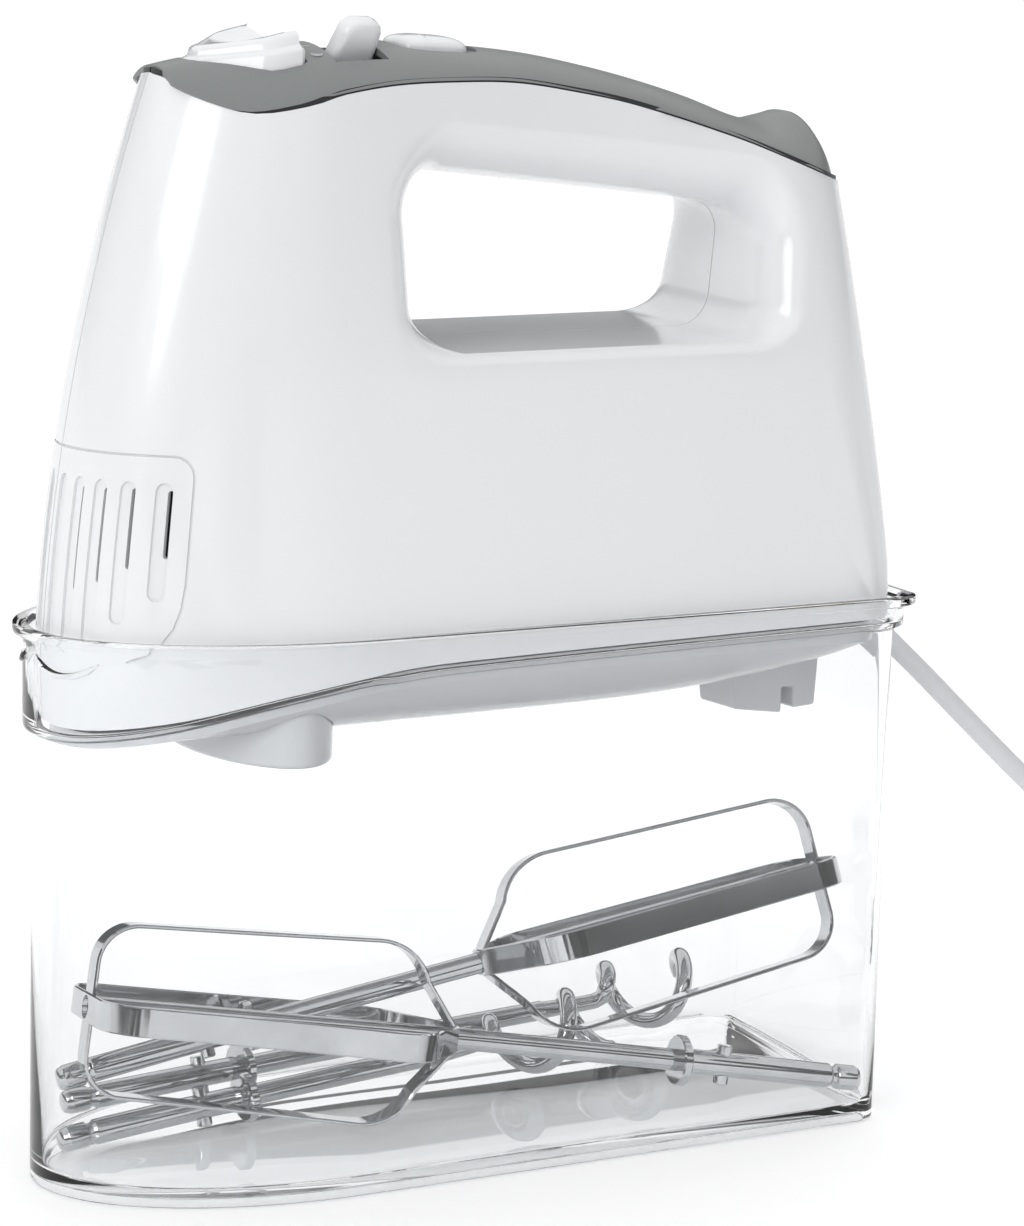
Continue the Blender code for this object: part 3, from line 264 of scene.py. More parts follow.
# %% Circuit board
def board():
    made = Finish("circuit_board", (0.02, 0.20, 0.09), 0.35)
    tracks = made.node("ShaderNodeTexBrick", {}, Vector=made.place, Scale=220.0, Mortar_Size=0.03,
                       output="Fac")
    made.set("Base Color", made.mix(tracks, (0.02, 0.20, 0.09), (0.05, 0.32, 0.14)))
    return made.bump(tracks, 0.00003, 0.4)


BOARD = board()

# %% [markdown]
# ## The clear case
#
# The case is moulded in clear polystyrene.  Its shader bends light as the plastic does, so the
# corners and rims gather dark lines and highlights by themselves.  Rays that go to a lamp pass
# straight through, or the case would shade its own contents like a solid.


# %% Clear plastic
def clear_plastic():
    made = Finish("clear_plastic", (0.985, 0.99, 0.995), 0.015, IOR=1.46, Transmission_Weight=1.0)
    made.set("Roughness", made.noise(25.0, 3.0) * 0.02 + 0.002)
    path = made.node("ShaderNodeLightPath", {}, output="Is Shadow Ray")
    open_shader = made.node("ShaderNodeBsdfTransparent", {}, Color=(0.94, 0.95, 0.955, 1.0))
    blend = made.node("ShaderNodeMixShader", {}, path, Value(made, made.shader.outputs[0]), open_shader)
    made.tree.links.new(blend.socket, made.tree.nodes["Material Output"].inputs["Surface"])
    return made


CLEAR = clear_plastic()
FINISHES = {made.slot: made for made in (WHITE, GREY, PALE, CLEAR, CHROME, STEEL, IRON, COPPER, BRASS,
                                         NYLON, BLACK, BOARD, CARBON, CORD_PVC)}
for part in frame["record"]["subparts"]:
    node = frame["nodes"][part["node"]]
    node.data.materials.clear()
    node.data.materials.append(FINISHES[part["material_slot"]].material)
print("finishes:", len(FINISHES))

# %% [markdown]
# ## From a bmesh to a finished piece
#
# Every new piece ends the same way: its bmesh becomes a mesh at the origin, gets its finish, rides on
# a body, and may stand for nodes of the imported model.  Most pieces belong to the housing, and most
# finishes carry the name of their own slot.

# %% Making a piece
SHARP_FROM = math.radians(32)


def as_object(name, edit):
    mesh = bpy.data.meshes.new(name)
    edit.to_mesh(mesh)
    edit.free()
    made = bpy.data.objects.new(name, mesh)
    bpy.context.scene.collection.objects.link(made)
    return made


def cutter(name, edit):
    bmesh.ops.recalc_face_normals(edit, faces=edit.faces)
    return as_object(name, edit)


def shade(made):
    made.data.shade_smooth()
    made.data.set_sharp_from_angle(angle=SHARP_FROM)
    return made


def piece(name, edit, finish, stands_for=(), body=HOUSING_BODY):
    bmesh.ops.recalc_face_normals(edit, faces=edit.faces)
    made = as_object(name, edit)
    made.data.materials.append(finish.material)
    shade(made)
    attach(made, body)
    if stands_for:
        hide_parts(*stands_for)
    print(name, len(made.data.polygons), "faces")
    return made


def rounded(made, width, segments=3, angle=45):
    step = made.modifiers.new("rounded", "BEVEL")
    step.width = width * MM
    step.segments = segments
    step.limit_method = "ANGLE"
    step.angle_limit = math.radians(angle)
    step.harden_normals = True
    return made


def applied(made):
    """The same object with its modifiers worked into its mesh."""
    depsgraph = bpy.context.evaluated_depsgraph_get()
    mesh = bpy.data.meshes.new_from_object(made.evaluated_get(depsgraph))
    made.modifiers.clear()
    made.data = mesh
    return made


def cut(made, *tools, operation="DIFFERENCE"):
    for tool in tools:
        step = made.modifiers.new("cut", "BOOLEAN")
        step.operation = operation
        step.solver = "EXACT"
        step.object = tool
        applied(made)
        bpy.data.objects.remove(tool, do_unlink=True)
    return shade(made)


# %% [markdown]
# ## Skins, turnings and bars
#
# Most shells here are skins: one loop of points is laid out, and each further loop is extruded from
# the last and moved to its place.  Round pieces are profiles that are spun about their axis.  Bars
# and blocks start from a cube.


# %% Shape helpers
def skin(loops, ends="open"):
    """A bmesh that starts from the first loop and is extruded from each loop to the next."""
    edit = bmesh.new()
    verts = [edit.verts.new(Vector(point) * MM) for point in loops[0]]
    count = len(verts)
    edges = [edit.edges.new((verts[i], verts[(i + 1) % count])) for i in range(count)]
    first, row = edges, edges
    for loop in loops[1:]:
        grown = bmesh.ops.extrude_edge_only(edit, edges=row)["geom"]
        made = {vert for vert in grown if isinstance(vert, bmesh.types.BMVert)}
        row = [edge for edge in grown if isinstance(edge, bmesh.types.BMEdge)
               and edge.verts[0] in made and edge.verts[1] in made]
        verts = [next(edge.other_vert(vert) for edge in vert.link_edges if edge.other_vert(vert) in made)
                 for vert in verts]
        for vert, point in zip(verts, loop):
            vert.co = Vector(point) * MM
    if ends == "join":
        bmesh.ops.bridge_loops(edit, edges=first + row)
    if ends == "fill":
        bmesh.ops.edgeloop_fill(edit, edges=first)
        bmesh.ops.edgeloop_fill(edit, edges=row)
    bmesh.ops.remove_doubles(edit, verts=edit.verts, dist=0.000005)
    return edit


def turning(profile, start=(0, 0, 0), direction=(0, 0, 1), steps=48, ring=False):
    """A bmesh of (radius, height) points spun about an axis through start."""
    edit = bmesh.new()
    verts = [edit.verts.new((radius * MM, 0, height * MM)) for radius, height in profile]
    edges = [edit.edges.new(pair) for pair in zip(verts, verts[1:])]
    if ring:
        edges.append(edit.edges.new((verts[-1], verts[0])))
    bmesh.ops.spin(edit, geom=verts + edges, cent=(0, 0, 0), axis=(0, 0, 1), angle=2 * math.pi,
                   steps=steps, use_merge=True)
    bmesh.ops.remove_doubles(edit, verts=edit.verts, dist=0.000003)
    turn = Vector((0, 0, 1)).rotation_difference(Vector(direction)).to_matrix().to_4x4()
    bmesh.ops.transform(edit, matrix=Matrix.Translation(Vector(start) * MM) @ turn, verts=edit.verts)
    return edit


def block(low, high):
    low, high = Vector(low), Vector(high)
    edit = bmesh.new()
    bmesh.ops.create_cube(edit, size=1.0)
    bmesh.ops.scale(edit, vec=(high - low) * MM, verts=edit.verts)
    bmesh.ops.translate(edit, vec=(low + high) / 2 * MM, verts=edit.verts)
    return edit


def slab(outline, low, high):
    """An outline in the XY plane, extruded between two heights."""
    edit = bmesh.new()
    face = edit.faces.new([edit.verts.new((x * MM, y * MM, low * MM)) for x, y in outline])
    grown = bmesh.ops.extrude_face_region(edit, geom=[face])["geom"]
    bmesh.ops.translate(edit, vec=(0, 0, (high - low) * MM),
                        verts=[item for item in grown if isinstance(item, bmesh.types.BMVert)])
    return edit


# %% [markdown]
# ## The cord
#
# A mixer's lead is two-core and about five millimetres thick.  It comes straight out of its strain
# relief, sags down to the worktop, and the part that is put away lies in a round coil in two layers:
# two and a half laps inwards on the worktop, and as many outwards on top of them.  The coil's turns are
# worked out, and the open run is a smooth curve through listed points.


# %% Cord route
def spline_points(points, spacing):
    knots = [Vector(point) for point in points]
    knots = [2 * knots[0] - knots[1]] + knots + [2 * knots[-1] - knots[-2]]
    made = [knots[1]]
    for i in range(1, len(knots) - 2):
        before, start, end, after = knots[i - 1:i + 3]
        steps = max(1, round((end - start).length / spacing))
        for step in range(1, steps + 1):
            t = step / steps
            made.append(0.5 * (2 * start + (end - before) * t
                               + (2 * before - 5 * start + 4 * end - after) * t ** 2
                               + (3 * start - before - 3 * end + after) * t ** 3))
    return made


RELIEF_END = RELIEF_START + RELIEF_DIRECTION * RELIEF_LENGTH
CORD_START = RELIEF_END + RELIEF_DIRECTION * 0.3
CORD_ROUTE = [tuple(CORD_START), (129.5, 0.0, 95.3), (144.5, -0.2, 81.4), (160.0, -0.6, 67.3),
              (176.0, -1.4, 53.2), (191.5, -2.8, 39.8), (206.0, -5.2, 27.6), (219.0, -9.6, 16.8),
              (229.6, -17.0, 8.8), (237.0, -27.0, 4.2), (240.6, -38.0, 2.8)]
TAIL_ROUTE = [(202.0, -81.2, 7.0), (195.3, -81.2, 7.0)]
LAYER_LOW, LAYER_HIGH = CORD / 2 + 0.05, CORD * 1.5 + 0.1
TURNS_RISE, TURNS_TOP, TURNS_OUT, TURNS_TOTAL = 2.5, 3.0, 4.78, 5.2456
COIL_STEPS = 220
RADIUS_OUTER, RADIUS_MIDDLE, RADIUS_INNER, RADIUS_EDGE = 29.3, 24.5, 19.7, 36.2


def coil_point(turn):
    """A lap keeps its radius, and steps aside by one cord at the same place as its neighbours."""
    radius = RADIUS_OUTER + (RADIUS_EDGE - RADIUS_OUTER - 0.6) * (1 - ease(turn / 0.5))
    for start, step in ((1.0, RADIUS_MIDDLE - RADIUS_OUTER), (2.0, RADIUS_INNER - RADIUS_MIDDLE),
                        (3.45, RADIUS_MIDDLE - RADIUS_INNER), (4.45, RADIUS_OUTER - RADIUS_MIDDLE)):
        radius += step * ease((turn - start) / 0.3)
    radius += (RADIUS_EDGE - RADIUS_OUTER) * ease((turn - TURNS_OUT) / (TURNS_TOTAL - TURNS_OUT))
    height = LAYER_LOW + (LAYER_HIGH - LAYER_LOW) * ease((turn - TURNS_RISE) / (TURNS_TOP - TURNS_RISE))
    angle = math.radians(-1.6) - 2 * math.pi * turn
    return COIL_CENTRE + Vector((radius * math.cos(angle), radius * math.sin(angle), height))


coil = [coil_point(TURNS_TOTAL * i / COIL_STEPS) for i in range(COIL_STEPS + 1)]
cord_points = spline_points(CORD_ROUTE + [tuple(coil[0])], 6.0) + coil[1:] + spline_points(
    [tuple(coil[-1])] + TAIL_ROUTE, 4.0)[1:]
CORD_LENGTH = sum((b - a).length for a, b in zip(cord_points, cord_points[1:])) * MM
curve = bpy.data.curves.new("mains_cord", "CURVE")
curve.dimensions = "3D"
curve.bevel_depth = CORD / 2 * MM
curve.bevel_resolution = 5
curve.use_fill_caps = True
spline = curve.splines.new("POLY")
spline.points.add(len(cord_points) - 1)
for knot, point in zip(spline.points, cord_points):
    knot.co = (*(point * MM), 1.0)
spline.use_smooth = True
curve.materials.append(CORD_PVC.material)
mains_cord = bpy.data.objects.new("mains_cord", curve)
bpy.context.scene.collection.objects.link(mains_cord)
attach(mains_cord, HOUSING_BODY)
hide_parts("power_cord", "cord_coil", "cord_tail")
print("cord length", round(CORD_LENGTH, 3), "m")

# %% [markdown]
# The strain relief is a tapered sleeve with two grooves that let it bend.  The tie is a flat strap
# that goes once round the bundle.

# %% Strain relief and tie
relief_profile = [(0, 34.0), (2.7, 34.0), (3.0, 33.6), (3.4, 26.0), (3.8, 21.0)]
for ring_at in (19.0, 15.5, 12.0):
    relief_profile += [(4.1, ring_at), (3.5, ring_at - 0.5), (3.5, ring_at - 1.3), (4.3, ring_at - 1.8)]
relief_profile += [(4.7, 8.5), (4.9, 7.5), (4.9, 0), (0, 0)]
relief = piece("cord_relief", turning(relief_profile, RELIEF_START, RELIEF_DIRECTION), PALE,
               ["strain_relief"])


def tie_strap():
    inner, outer, high = 16.9, 32.1, LAYER_HIGH + CORD / 2 + 0.35
    wall, half = 0.9, 2.6
    edit = block((inner - wall, -half, 0.02), (outer + wall, half, high + wall))
    place = Matrix.Translation(COIL_CENTRE * MM) @ Matrix.Rotation(math.radians(140), 4, "Z")
    bmesh.ops.transform(edit, matrix=place, verts=edit.verts)
    strap = piece("coil_tie", edit, BLACK, ["cord_tie"])
    hole = block((inner, -half * 2, -4), (outer, half * 2, high))
    bmesh.ops.transform(hole, matrix=place, verts=hole.verts)
    cut(strap, cutter("tie_hole", hole))
    return applied(rounded(strap, 0.35, 2))


tie = tie_strap()

# %% [markdown]
# ## The curves that give the mixer its shape
#
# The side of the housing is thought of as a flat sheet.  A point on it has a station, which runs from
# the nose's tip along the side and round the rear, and a height.  fold() bends that sheet round the
# nose and the rear corner, and an inset gives the inner skin.  The heights of the parting line, of the
# ridge and of the ledge are smooth curves through a few points.


# %% Curves
def smooth_through(points):
    xs, ys = [x for x, _ in points], [y for _, y in points]
    slopes = [(ys[min(i + 1, len(xs) - 1)] - ys[max(i - 1, 0)])
              / (xs[min(i + 1, len(xs) - 1)] - xs[max(i - 1, 0)]) for i in range(len(xs))]

    def value(x):
        if x <= xs[0]:
            return ys[0]
        if x >= xs[-1]:
            return ys[-1]
        i = max(k for k in range(len(xs) - 1) if xs[k] <= x)
        span = xs[i + 1] - xs[i]
        t = (x - xs[i]) / span
        return ((2 * t ** 3 - 3 * t ** 2 + 1) * ys[i] + (t ** 3 - 2 * t ** 2 + t) * span * slopes[i]
                + (3 * t ** 2 - 2 * t ** 3) * ys[i + 1] + (t ** 3 - t ** 2) * span * slopes[i + 1])
    return value


ledge_height = smooth_through([(-112, 101.0), (-92, 101.6), (-72, 104.6), (-50, 110.2), (-31, 113.9),
                               (-8, 115.0), (95, 116.6), (130, 116.8)])
parting_height = smooth_through([(-112, 241.0), (-98, 240.0), (-82, 236.4), (-66, 233.8), (-50, 235.4),
                                 (-40, 237.6), (-27, 239.3), (-12, 239.7), (3, 239.3), (17, 237.3),
                                 (33, 234.1), (58, 226.6), (83, 217.6), (100, 215.6), (130, 215.2)])
ridge_height = smooth_through([(-77, 241.9), (-65, 244.2), (-50, 246.4), (-38, 247.2), (-20, 247.3),
                               (0, 246.0), (15, 244.3), (29, 241.6), (41, 238.7), (54, 234.9),
                               (66, 230.6), (74, 229.0), (79, 230.0), (84, 230.6), (89, 224.0),
                               (91.5, 216.5)])
hull_bottom = smooth_through([(-90, 101.0), (-60, 101.6), (0, 101.8), (40, 102.6), (68, 105.2),
                              (84, 108.4), (93, 111.5)])
SEAM = 0.15
LEDGE, SEAT, SHELL = 1.2, 1.2, 2.2
NOSE_TIP, REAR_END, NOSE_END = -112, 130, -31


def rise(z):
    return clamp((z - 122) / 113, 0.0, 1.06)


def nose_front(z):
    return -97.4 + 6.2 * rise(z) + 15.1 * rise(z) ** 2


def nose_length(z):
    return 62.0 - 26.0 * rise(z)


def rear_rise(z):
    return clamp((z - 130) / 87)


def rear_back(z):
    return 97.6 - 7.0 * rear_rise(z) ** 1.3


def rear_corner(z):
    return 9.0 + 11.0 * rear_rise(z)


def half_width(x, z):
    middle = clamp(1 - ((x - 25) / 75) ** 2) ** 2
    return 35.8 - 11.3 * rise(z) ** 1.15 - 5.0 * middle * ease((z - 180) / 42)


def fold(station, z, inset=0.0):
    straight = nose_front(z) + nose_length(z)
    corner = rear_corner(z)
    turn_start = rear_back(z) - corner
    width = half_width(clamp(station, -50, 100), z) - inset
    if station < straight:
        angle = math.pi / 2 * (station - NOSE_TIP) / (straight - NOSE_TIP)
        return straight - (nose_length(z) - inset) * math.cos(angle), width * math.sin(angle)
    if station <= turn_start:
        return station, width
    turned = (station - turn_start) / corner
    if turned < math.pi / 2:
        return (turn_start + (corner - inset) * math.sin(turned),
                width - (corner - inset) * (1 - math.cos(turned)))
    return rear_back(z) - inset, width + inset - corner - (station - turn_start - corner * math.pi / 2)


def rear_station(z):
    corner = rear_corner(z)
    return rear_back(z) - corner + corner * math.pi / 2 + half_width(100, z) - corner


print("parting line runs from", parting_height(NOSE_TIP), "to", parting_height(REAR_END), "mm")

# %% [markdown]
# ## The two housing halves
#
# Each half is a set of rings of points that run from its outer edge to the edge of the handle's
# opening, over a deep rounding, and down to the middle plane.  Then the inner skin runs back.  The
# rounding is deepest above the opening, where the fingers go round, and sharp at the flat sill.

# %% Housing rings
TOP_FRONT, TOP_REAR, LOW_REAR, LOW_FRONT = (-13.0, 211.0), (58.5, 203.8), (57.0, 190.5), (-11.0, 193.0)
CORNER_RADII = {TOP_FRONT: 8.8, TOP_REAR: 7.6, LOW_REAR: 8.0, LOW_FRONT: 10.5}
SIDES = {"left": (LOW_FRONT, TOP_FRONT), "top": (TOP_FRONT, TOP_REAR), "right": (TOP_REAR, LOW_REAR),
         "bottom": (LOW_REAR, LOW_FRONT)}
TURN_SHARE = 0.22
top_station = smooth_through([(0.0, -112.0), (0.11, -75.0), (0.22, -40.0), (0.5, 11.0), (0.78, 62.0),
                              (1.0, rear_station(216))])
CORNER_START, CORNER_END = 88.6, 102.7
ORDER = list(SIDES)
print("sides of the opening:", ORDER)

# %% [markdown]
# The opening is a four-sided shape with a round corner at each end of each side.  A share of a side's
# length is spent on turning half of each corner, so neighbouring sides meet without a kink.


# %% The edge of the opening
def side_normal(side):
    """Direction in which a side of the opening faces away from its middle."""
    start, end = SIDES[side]
    return math.atan2(end[0] - start[0], start[1] - end[1])


def halfway(side, turn_to):
    """From a side's own direction, half of the way round to the direction of its neighbour."""
    step = (side_normal(turn_to) - side_normal(side) + math.pi) % (2 * math.pi) - math.pi
    return step / 2


def opening_point(side, t, inset=0.0):
    start, end = SIDES[side]
    before, after = ORDER[ORDER.index(side) - 1], ORDER[(ORDER.index(side) + 1) % len(ORDER)]
    normal = side_normal(side)
    first, last = CORNER_RADII[start], CORNER_RADII[end]
    if t < TURN_SHARE:
        centre, radius, angle = start, first, normal + halfway(side, before) * (1 - t / TURN_SHARE)
    elif t > 1 - TURN_SHARE:
        centre, radius = end, last
        angle = normal + halfway(side, after) * (t - 1 + TURN_SHARE) / TURN_SHARE
    else:
        share = (t - TURN_SHARE) / (1 - 2 * TURN_SHARE)
        centre = between(start, end, share)
        radius, angle = first + (last - first) * share, normal
    out = Vector((math.cos(angle), math.sin(angle)))
    return Vector(centre) + out * (radius + inset), out


# %% [markdown]
# The rounding grows towards the top, where a hand goes round the handle.  Each point on the opening has
# a partner on the outer edge of the half, and the points between the two are spread evenly, except
# round the rear corner, where they stand closer.


# %% From the outer edge to the opening
def fillet_size(out, inset=0.0):
    up, down, front, rear = (clamp(v) ** 2 for v in (out.y, -out.y, -out.x, out.x))
    return (max(12.0 * up + 3.0 * down + 9.0 * front + 8.0 * rear - inset, 0.6),
            19.2 * up + 3.0 * down + 17.0 * front + 14.0 * rear)


def outer_point(side, t):
    if side == "top":
        return top_station(t), parting_height(top_station(t))
    low_rear = ledge_height(REAR_END) + LEDGE + SEAT
    if side == "left":
        low = ledge_height(NOSE_TIP) + LEDGE + SEAT
        return NOSE_TIP, low + (parting_height(NOSE_TIP) - low) * t
    if side == "right":
        z = parting_height(REAR_END) + (low_rear - parting_height(REAR_END)) * t
        return rear_station(z), z
    station = rear_station(low_rear) + (NOSE_TIP - rear_station(low_rear)) * t
    return station, ledge_height(station) + LEDGE + SEAT


def ring_shares(side, outer, inner, across):
    if side == "top" or outer < CORNER_START + 2:
        return [k / across for k in range(across + 1)]
    bend = across // 2
    first = min(CORNER_END, outer - (outer - CORNER_START) / bend)
    stations = [outer] + [first - (first - CORNER_START) * k / (bend - 1) for k in range(bend)]
    flat = across - bend
    stations += [CORNER_START + (inner - CORNER_START) * k / flat for k in range(1, flat + 1)]
    return [(outer - station) / (outer - inner) for station in stations]


# %% [markdown]
# The rings are laid out from these helpers: first the flat of the side, then the rounding, then the
# edge at the middle plane.  The inner skin uses the same rings with an inset, in reverse.


# %% The rings of a half
def housing_rows(across, fillet_steps, inset):
    counts = {"left": 26, "top": 72, "right": 22, "bottom": 52}
    spots = [(side, i / n) for side, n in counts.items() for i in range(n)]
    edges = [opening_point(side, t, inset) for side, t in spots]
    rings = []
    for k in range(across + 1):
        ring = []
        for (side, t), (edge, out) in zip(spots, edges):
            inner = edge + out * fillet_size(out, inset)[0]
            outer = outer_point(side, t)
            share = ring_shares(side, outer[0], inner.x, across)[k]
            quick = share ** 0.5 if side == "top" and t < 0.5 else share
            z = outer[1] + (inner.y - outer[1]) * quick
            x, y = fold(outer[0] + (inner.x - outer[0]) * share, z, inset)
            ring.append((x, y if y > 0.5 else SEAM, z))
        rings.append(ring)
    for k in range(1, fillet_steps + 1):
        ring = []
        for edge, out in edges:
            reach, depth = fillet_size(out, inset)
            angle = math.pi / 2 * k / fillet_steps
            spot = edge + out * reach * (1 - math.sin(angle))
            y = fold(spot.x, spot.y, inset)[1]
            ring.append((spot.x, y - min(depth, y - 0.6) * (1 - math.cos(angle)), spot.y))
        rings.append(ring)
    rings.append([(edge.x, SEAM, edge.y) for edge, _ in edges])
    return rings


def housing_half(side):
    rings = housing_rows(26, 12, 0.0) + list(reversed(housing_rows(18, 8, SHELL)))
    return skin([[(x, side * y, z) for x, y, z in ring] for ring in rings], ends="join")


# %% [markdown]
# ## The vent panel on the nose
#
# A fine line outlines a panel round the nose.  It holds shallow upright grooves, and each groove has a
# slot through the wall along its rear side.  Everything is cut with engraved(): a path on the flat
# sheet with a width at each point, folded round the nose at two depths.


# %% Vents
def engraved(path, widths, side, shallow, deep):
    loops = []
    for index, (station, z) in enumerate(path):
        before, after = path[max(index - 1, 0)], path[min(index + 1, len(path) - 1)]
        run = Vector((after[0] - before[0], after[1] - before[1])).normalized()
        offset = Vector((-run.y, run.x)) * widths[index] / 2
        corners = []
        for sign, inset in ((1, shallow), (-1, shallow), (-1, deep), (1, deep)):
            x, y = fold(station + sign * offset.x, z + sign * offset.y, inset)
            corners.append((x, side * y, z + sign * offset.y))
        loops.append(corners)
    return skin(loops, ends="fill")


def upright(station, low, high, width, side, shallow, deep):
    """An upright groove or slot with round ends."""
    steps = 7
    ends = [1 - math.cos(math.pi / 2 * k / steps) for k in range(1, steps + 1)]
    path, widths = [], []
    for end in ends:
        path.append((station, high - width / 2 * end))
        widths.append(width * math.sqrt(1 - (1 - end) ** 2))
    for k in range(1, 5):
        path.append((station, high - width / 2 - (high - low - width) * k / 5))
        widths.append(width)
    for end in reversed(ends):
        path.append((station, low + width / 2 * end))
        widths.append(width * math.sqrt(1 - (1 - end) ** 2))
    return engraved(path, widths, side, shallow, deep)


def joined(edits):
    whole = bmesh.new()
    for edit in edits:
        mesh = bpy.data.meshes.new("joined")
        edit.to_mesh(mesh)
        edit.free()
        whole.from_mesh(mesh)
        bpy.data.meshes.remove(mesh)
    return whole


ABOVE_SKIN = -0.8
VENTS = [(-77.6, 132.5, 157.5), (-86.1, 127.3, 157.5), (-93.6, 122.4, 157.5), (-100.8, 120.4, 157.5),
         (-108.0, 119.4, 157.5)]
VENT_SLOTS = [(-76.3, 141.5, 155.8), (-84.8, 139.0, 156.0), (-92.4, 135.7, 155.6), (-99.7, 133.5, 155.4),
              (-107.0, 132.0, 155.2)]


def panel_line():
    """The panel's outline: along the top, round a corner, down the side and in at the bottom."""
    path = [(-111.6 + 35.6 * k / 12, 163.0) for k in range(13)]
    path += [(-76.0 + 4.6 * math.sin(a), 158.4 + 4.6 * math.cos(a))
             for a in (0.3, 0.6, 0.9, 1.2, math.pi / 2)]
    path += [(-71.4, 152.0), (-71.4, 144.0), (-71.5, 136.0), (-72.0, 131.0), (-73.2, 127.0),
             (-75.4, 123.6), (-78.6, 121.2), (-83.0, 119.6)]
    return path


def vented_half(side):
    half = piece(f"shell_{SIDE_NAMES[side]}", housing_half(side), WHITE,
                 [f"housing_{'left' if side < 0 else 'right'}"])
    relief_hole = turning([(0, -1), (5.4, -1), (5.4, 36), (0, 36)], RELIEF_START, RELIEF_DIRECTION)
    cut(half, cutter("relief_hole", relief_hole))
    line = panel_line()
    grooves = [upright(*vent, 3.9, side, ABOVE_SKIN, 0.75) for vent in VENTS]
    grooves.append(engraved(line, [0.55] * len(line), side, ABOVE_SKIN, 0.5))
    cut(half, cutter("grooves", joined(grooves)))
    slots = [upright(*slot, 1.35, side, ABOVE_SKIN, 3.4) for slot in VENT_SLOTS]
    return cut(half, cutter("slots", joined(slots)))


for side in SIDE_NAMES:
    vented_half(side)


def slot_shade_sheet(side):
    """Near-black sheet behind the slots: painted shade for the dark inside of the housing."""
    loops = []
    for inset in (SHELL + 0.25, SHELL + 0.75):
        loops.append([(fold(s, z, inset)[0], side * fold(s, z, inset)[1], z)
                      for s, z in [(-110 + 36 * k / 12, 158.5) for k in range(13)]
                      + [(-74 - 36 * k / 12, 130.0) for k in range(13)]])
    edit = skin(loops, ends="fill")
    return piece(f"vent_shade_sheet_{SIDE_NAMES[side]}", edit, VENT_SHADE)


for side in SIDE_NAMES:
    slot_shade_sheet(side)

# %% [markdown]
# ## The grey top cover
#
# The cover follows the parting line at its edge and the ridge at its middle, with a dip and a raised
# thumb rest at the rear.  The controls come up through three holes in it.

# %% Top cover
COVER_GAP, COVER_THICK = 0.4, 1.6
TURBO, TURBO_HALF, TURBO_SQUARE = Vector((-9.6, -1.0)), Vector((8.4, 7.2)), 0.55


def cover_point(x, across, inset=0.0):
    front, back, nose, tail = -76.6, 90.6, 34.0, 17.0
    if x < front + nose:
        end_factor = math.sqrt(clamp(1 - ((front + nose - x) / nose) ** 2))
        station = NOSE_TIP + ((nose_front(240) + nose_length(240) - NOSE_TIP)
                              * (1 - 2 / math.pi * math.acos(end_factor)))
    elif x > back - tail:
        end_factor = math.sqrt(clamp(1 - ((x - back + tail) / tail) ** 2))
        station = x + 6 * (1 - end_factor)
    else:
        end_factor, station = 1.0, x
    edge = parting_height(station) + COVER_GAP
    width = half_width(clamp(x, -50, 100), 238 if x < 40 else 225) * end_factor - 0.1
    width = max(width - inset, 0.3 * width)
    y = width * math.sin(math.pi / 2 * across)
    dome = max(ridge_height(x) - edge, 0.4)
    dome = max(dome - inset, 0.0) if inset else dome
    return x, y, edge + dome * clamp(1 - (y / max(width, 0.01)) ** 2) ** 0.8


def eject_outline(grow):
    half = [(-66.3 - grow, 0), (-65.9 - grow, 2.6), (-64.4 - grow, 4.8 + grow * 0.6), (-54.6, 13.2 + grow),
            (-52.6, 14.6 + grow), (-50.2, 15.0 + grow), (-45.6, 15.0 + grow), (-44.6 + grow, 14.0 + grow)]
    return [(x, -y) for x, y in half] + [(x, y) for x, y in reversed(half[1:])]


def turbo_outline(grow):
    """Plan of the turbo button: a rounded oblong."""
    outline = []
    for k in range(72):
        angle = 2 * math.pi * k / 72
        c, q = math.cos(angle), math.sin(angle)
        outline.append((TURBO.x + (TURBO_HALF.x + grow) * math.copysign(abs(c) ** TURBO_SQUARE, c),
                        TURBO.y + (TURBO_HALF.y + grow) * math.copysign(abs(q) ** TURBO_SQUARE, q)))
    return outline


def top_cover():
    stations = [-73.1, -72.2, -71.0, -69.4, -67.4] + [-65 + 2.5 * k for k in range(56)] + [
        76, 78, 80, 82, 84, 86, 87.5, 88.7, 89.6, 90.2, 90.5]
    across = [-1 + k / 14 for k in range(29)]
    loops = [[cover_point(x, a) for a in across] + [cover_point(x, -a, COVER_THICK) for a in across]
             for x in stations]
    cover = piece("handle_cover", skin(loops, ends="fill"), GREY, ["top_cover"])
    cut(cover, cutter("turbo_well", slab(turbo_outline(1.9), 245.0, 260)))
    return cut(cover, cutter("eject_hole", slab(eject_outline(0.5), 225, 260)),
               cutter("lever_slot", block((-38.0, -15.5, 238), (-25.4, 14.5, 260))),
               cutter("turbo_hole", slab(turbo_outline(0.35), 235, 260)))


top_cover()

# %% [markdown]
# The joint between the cover and the halves shows as a dark line.  A thin black strip lies in it, set
# in from both: the line is a real gap, and the strip at its bottom is painted shade for the gap's dark
# inside.

# %% Painted shade strip under the cover
SHADE_STRIP_STATIONS = [-111.5 + 2.0 * k for k in range(106)] + [101.5, 104, 107, 110, 114, 118]


def joint_shade_strip(side):
    """A thin black strip in the joint between a housing half and the cover, set in from both: painted
    shade for the gap.
    """
    loops = []
    for station in SHADE_STRIP_STATIONS:
        z = parting_height(station)
        loop = []
        for inset, lift in ((0.45, -0.5), (0.45, 1.1), (1.3, 1.1), (1.3, -0.5)):
            x, y = fold(min(station, rear_station(z) - 0.5), z, inset)
            loop.append((x, side * max(y, 0.2), z + lift))
        loops.append(loop)
    return piece(f"gasket_{SIDE_NAMES[side]}", skin(loops, ends="fill"), BLACK)


for side in SIDE_NAMES:
    joint_shade_strip(side)

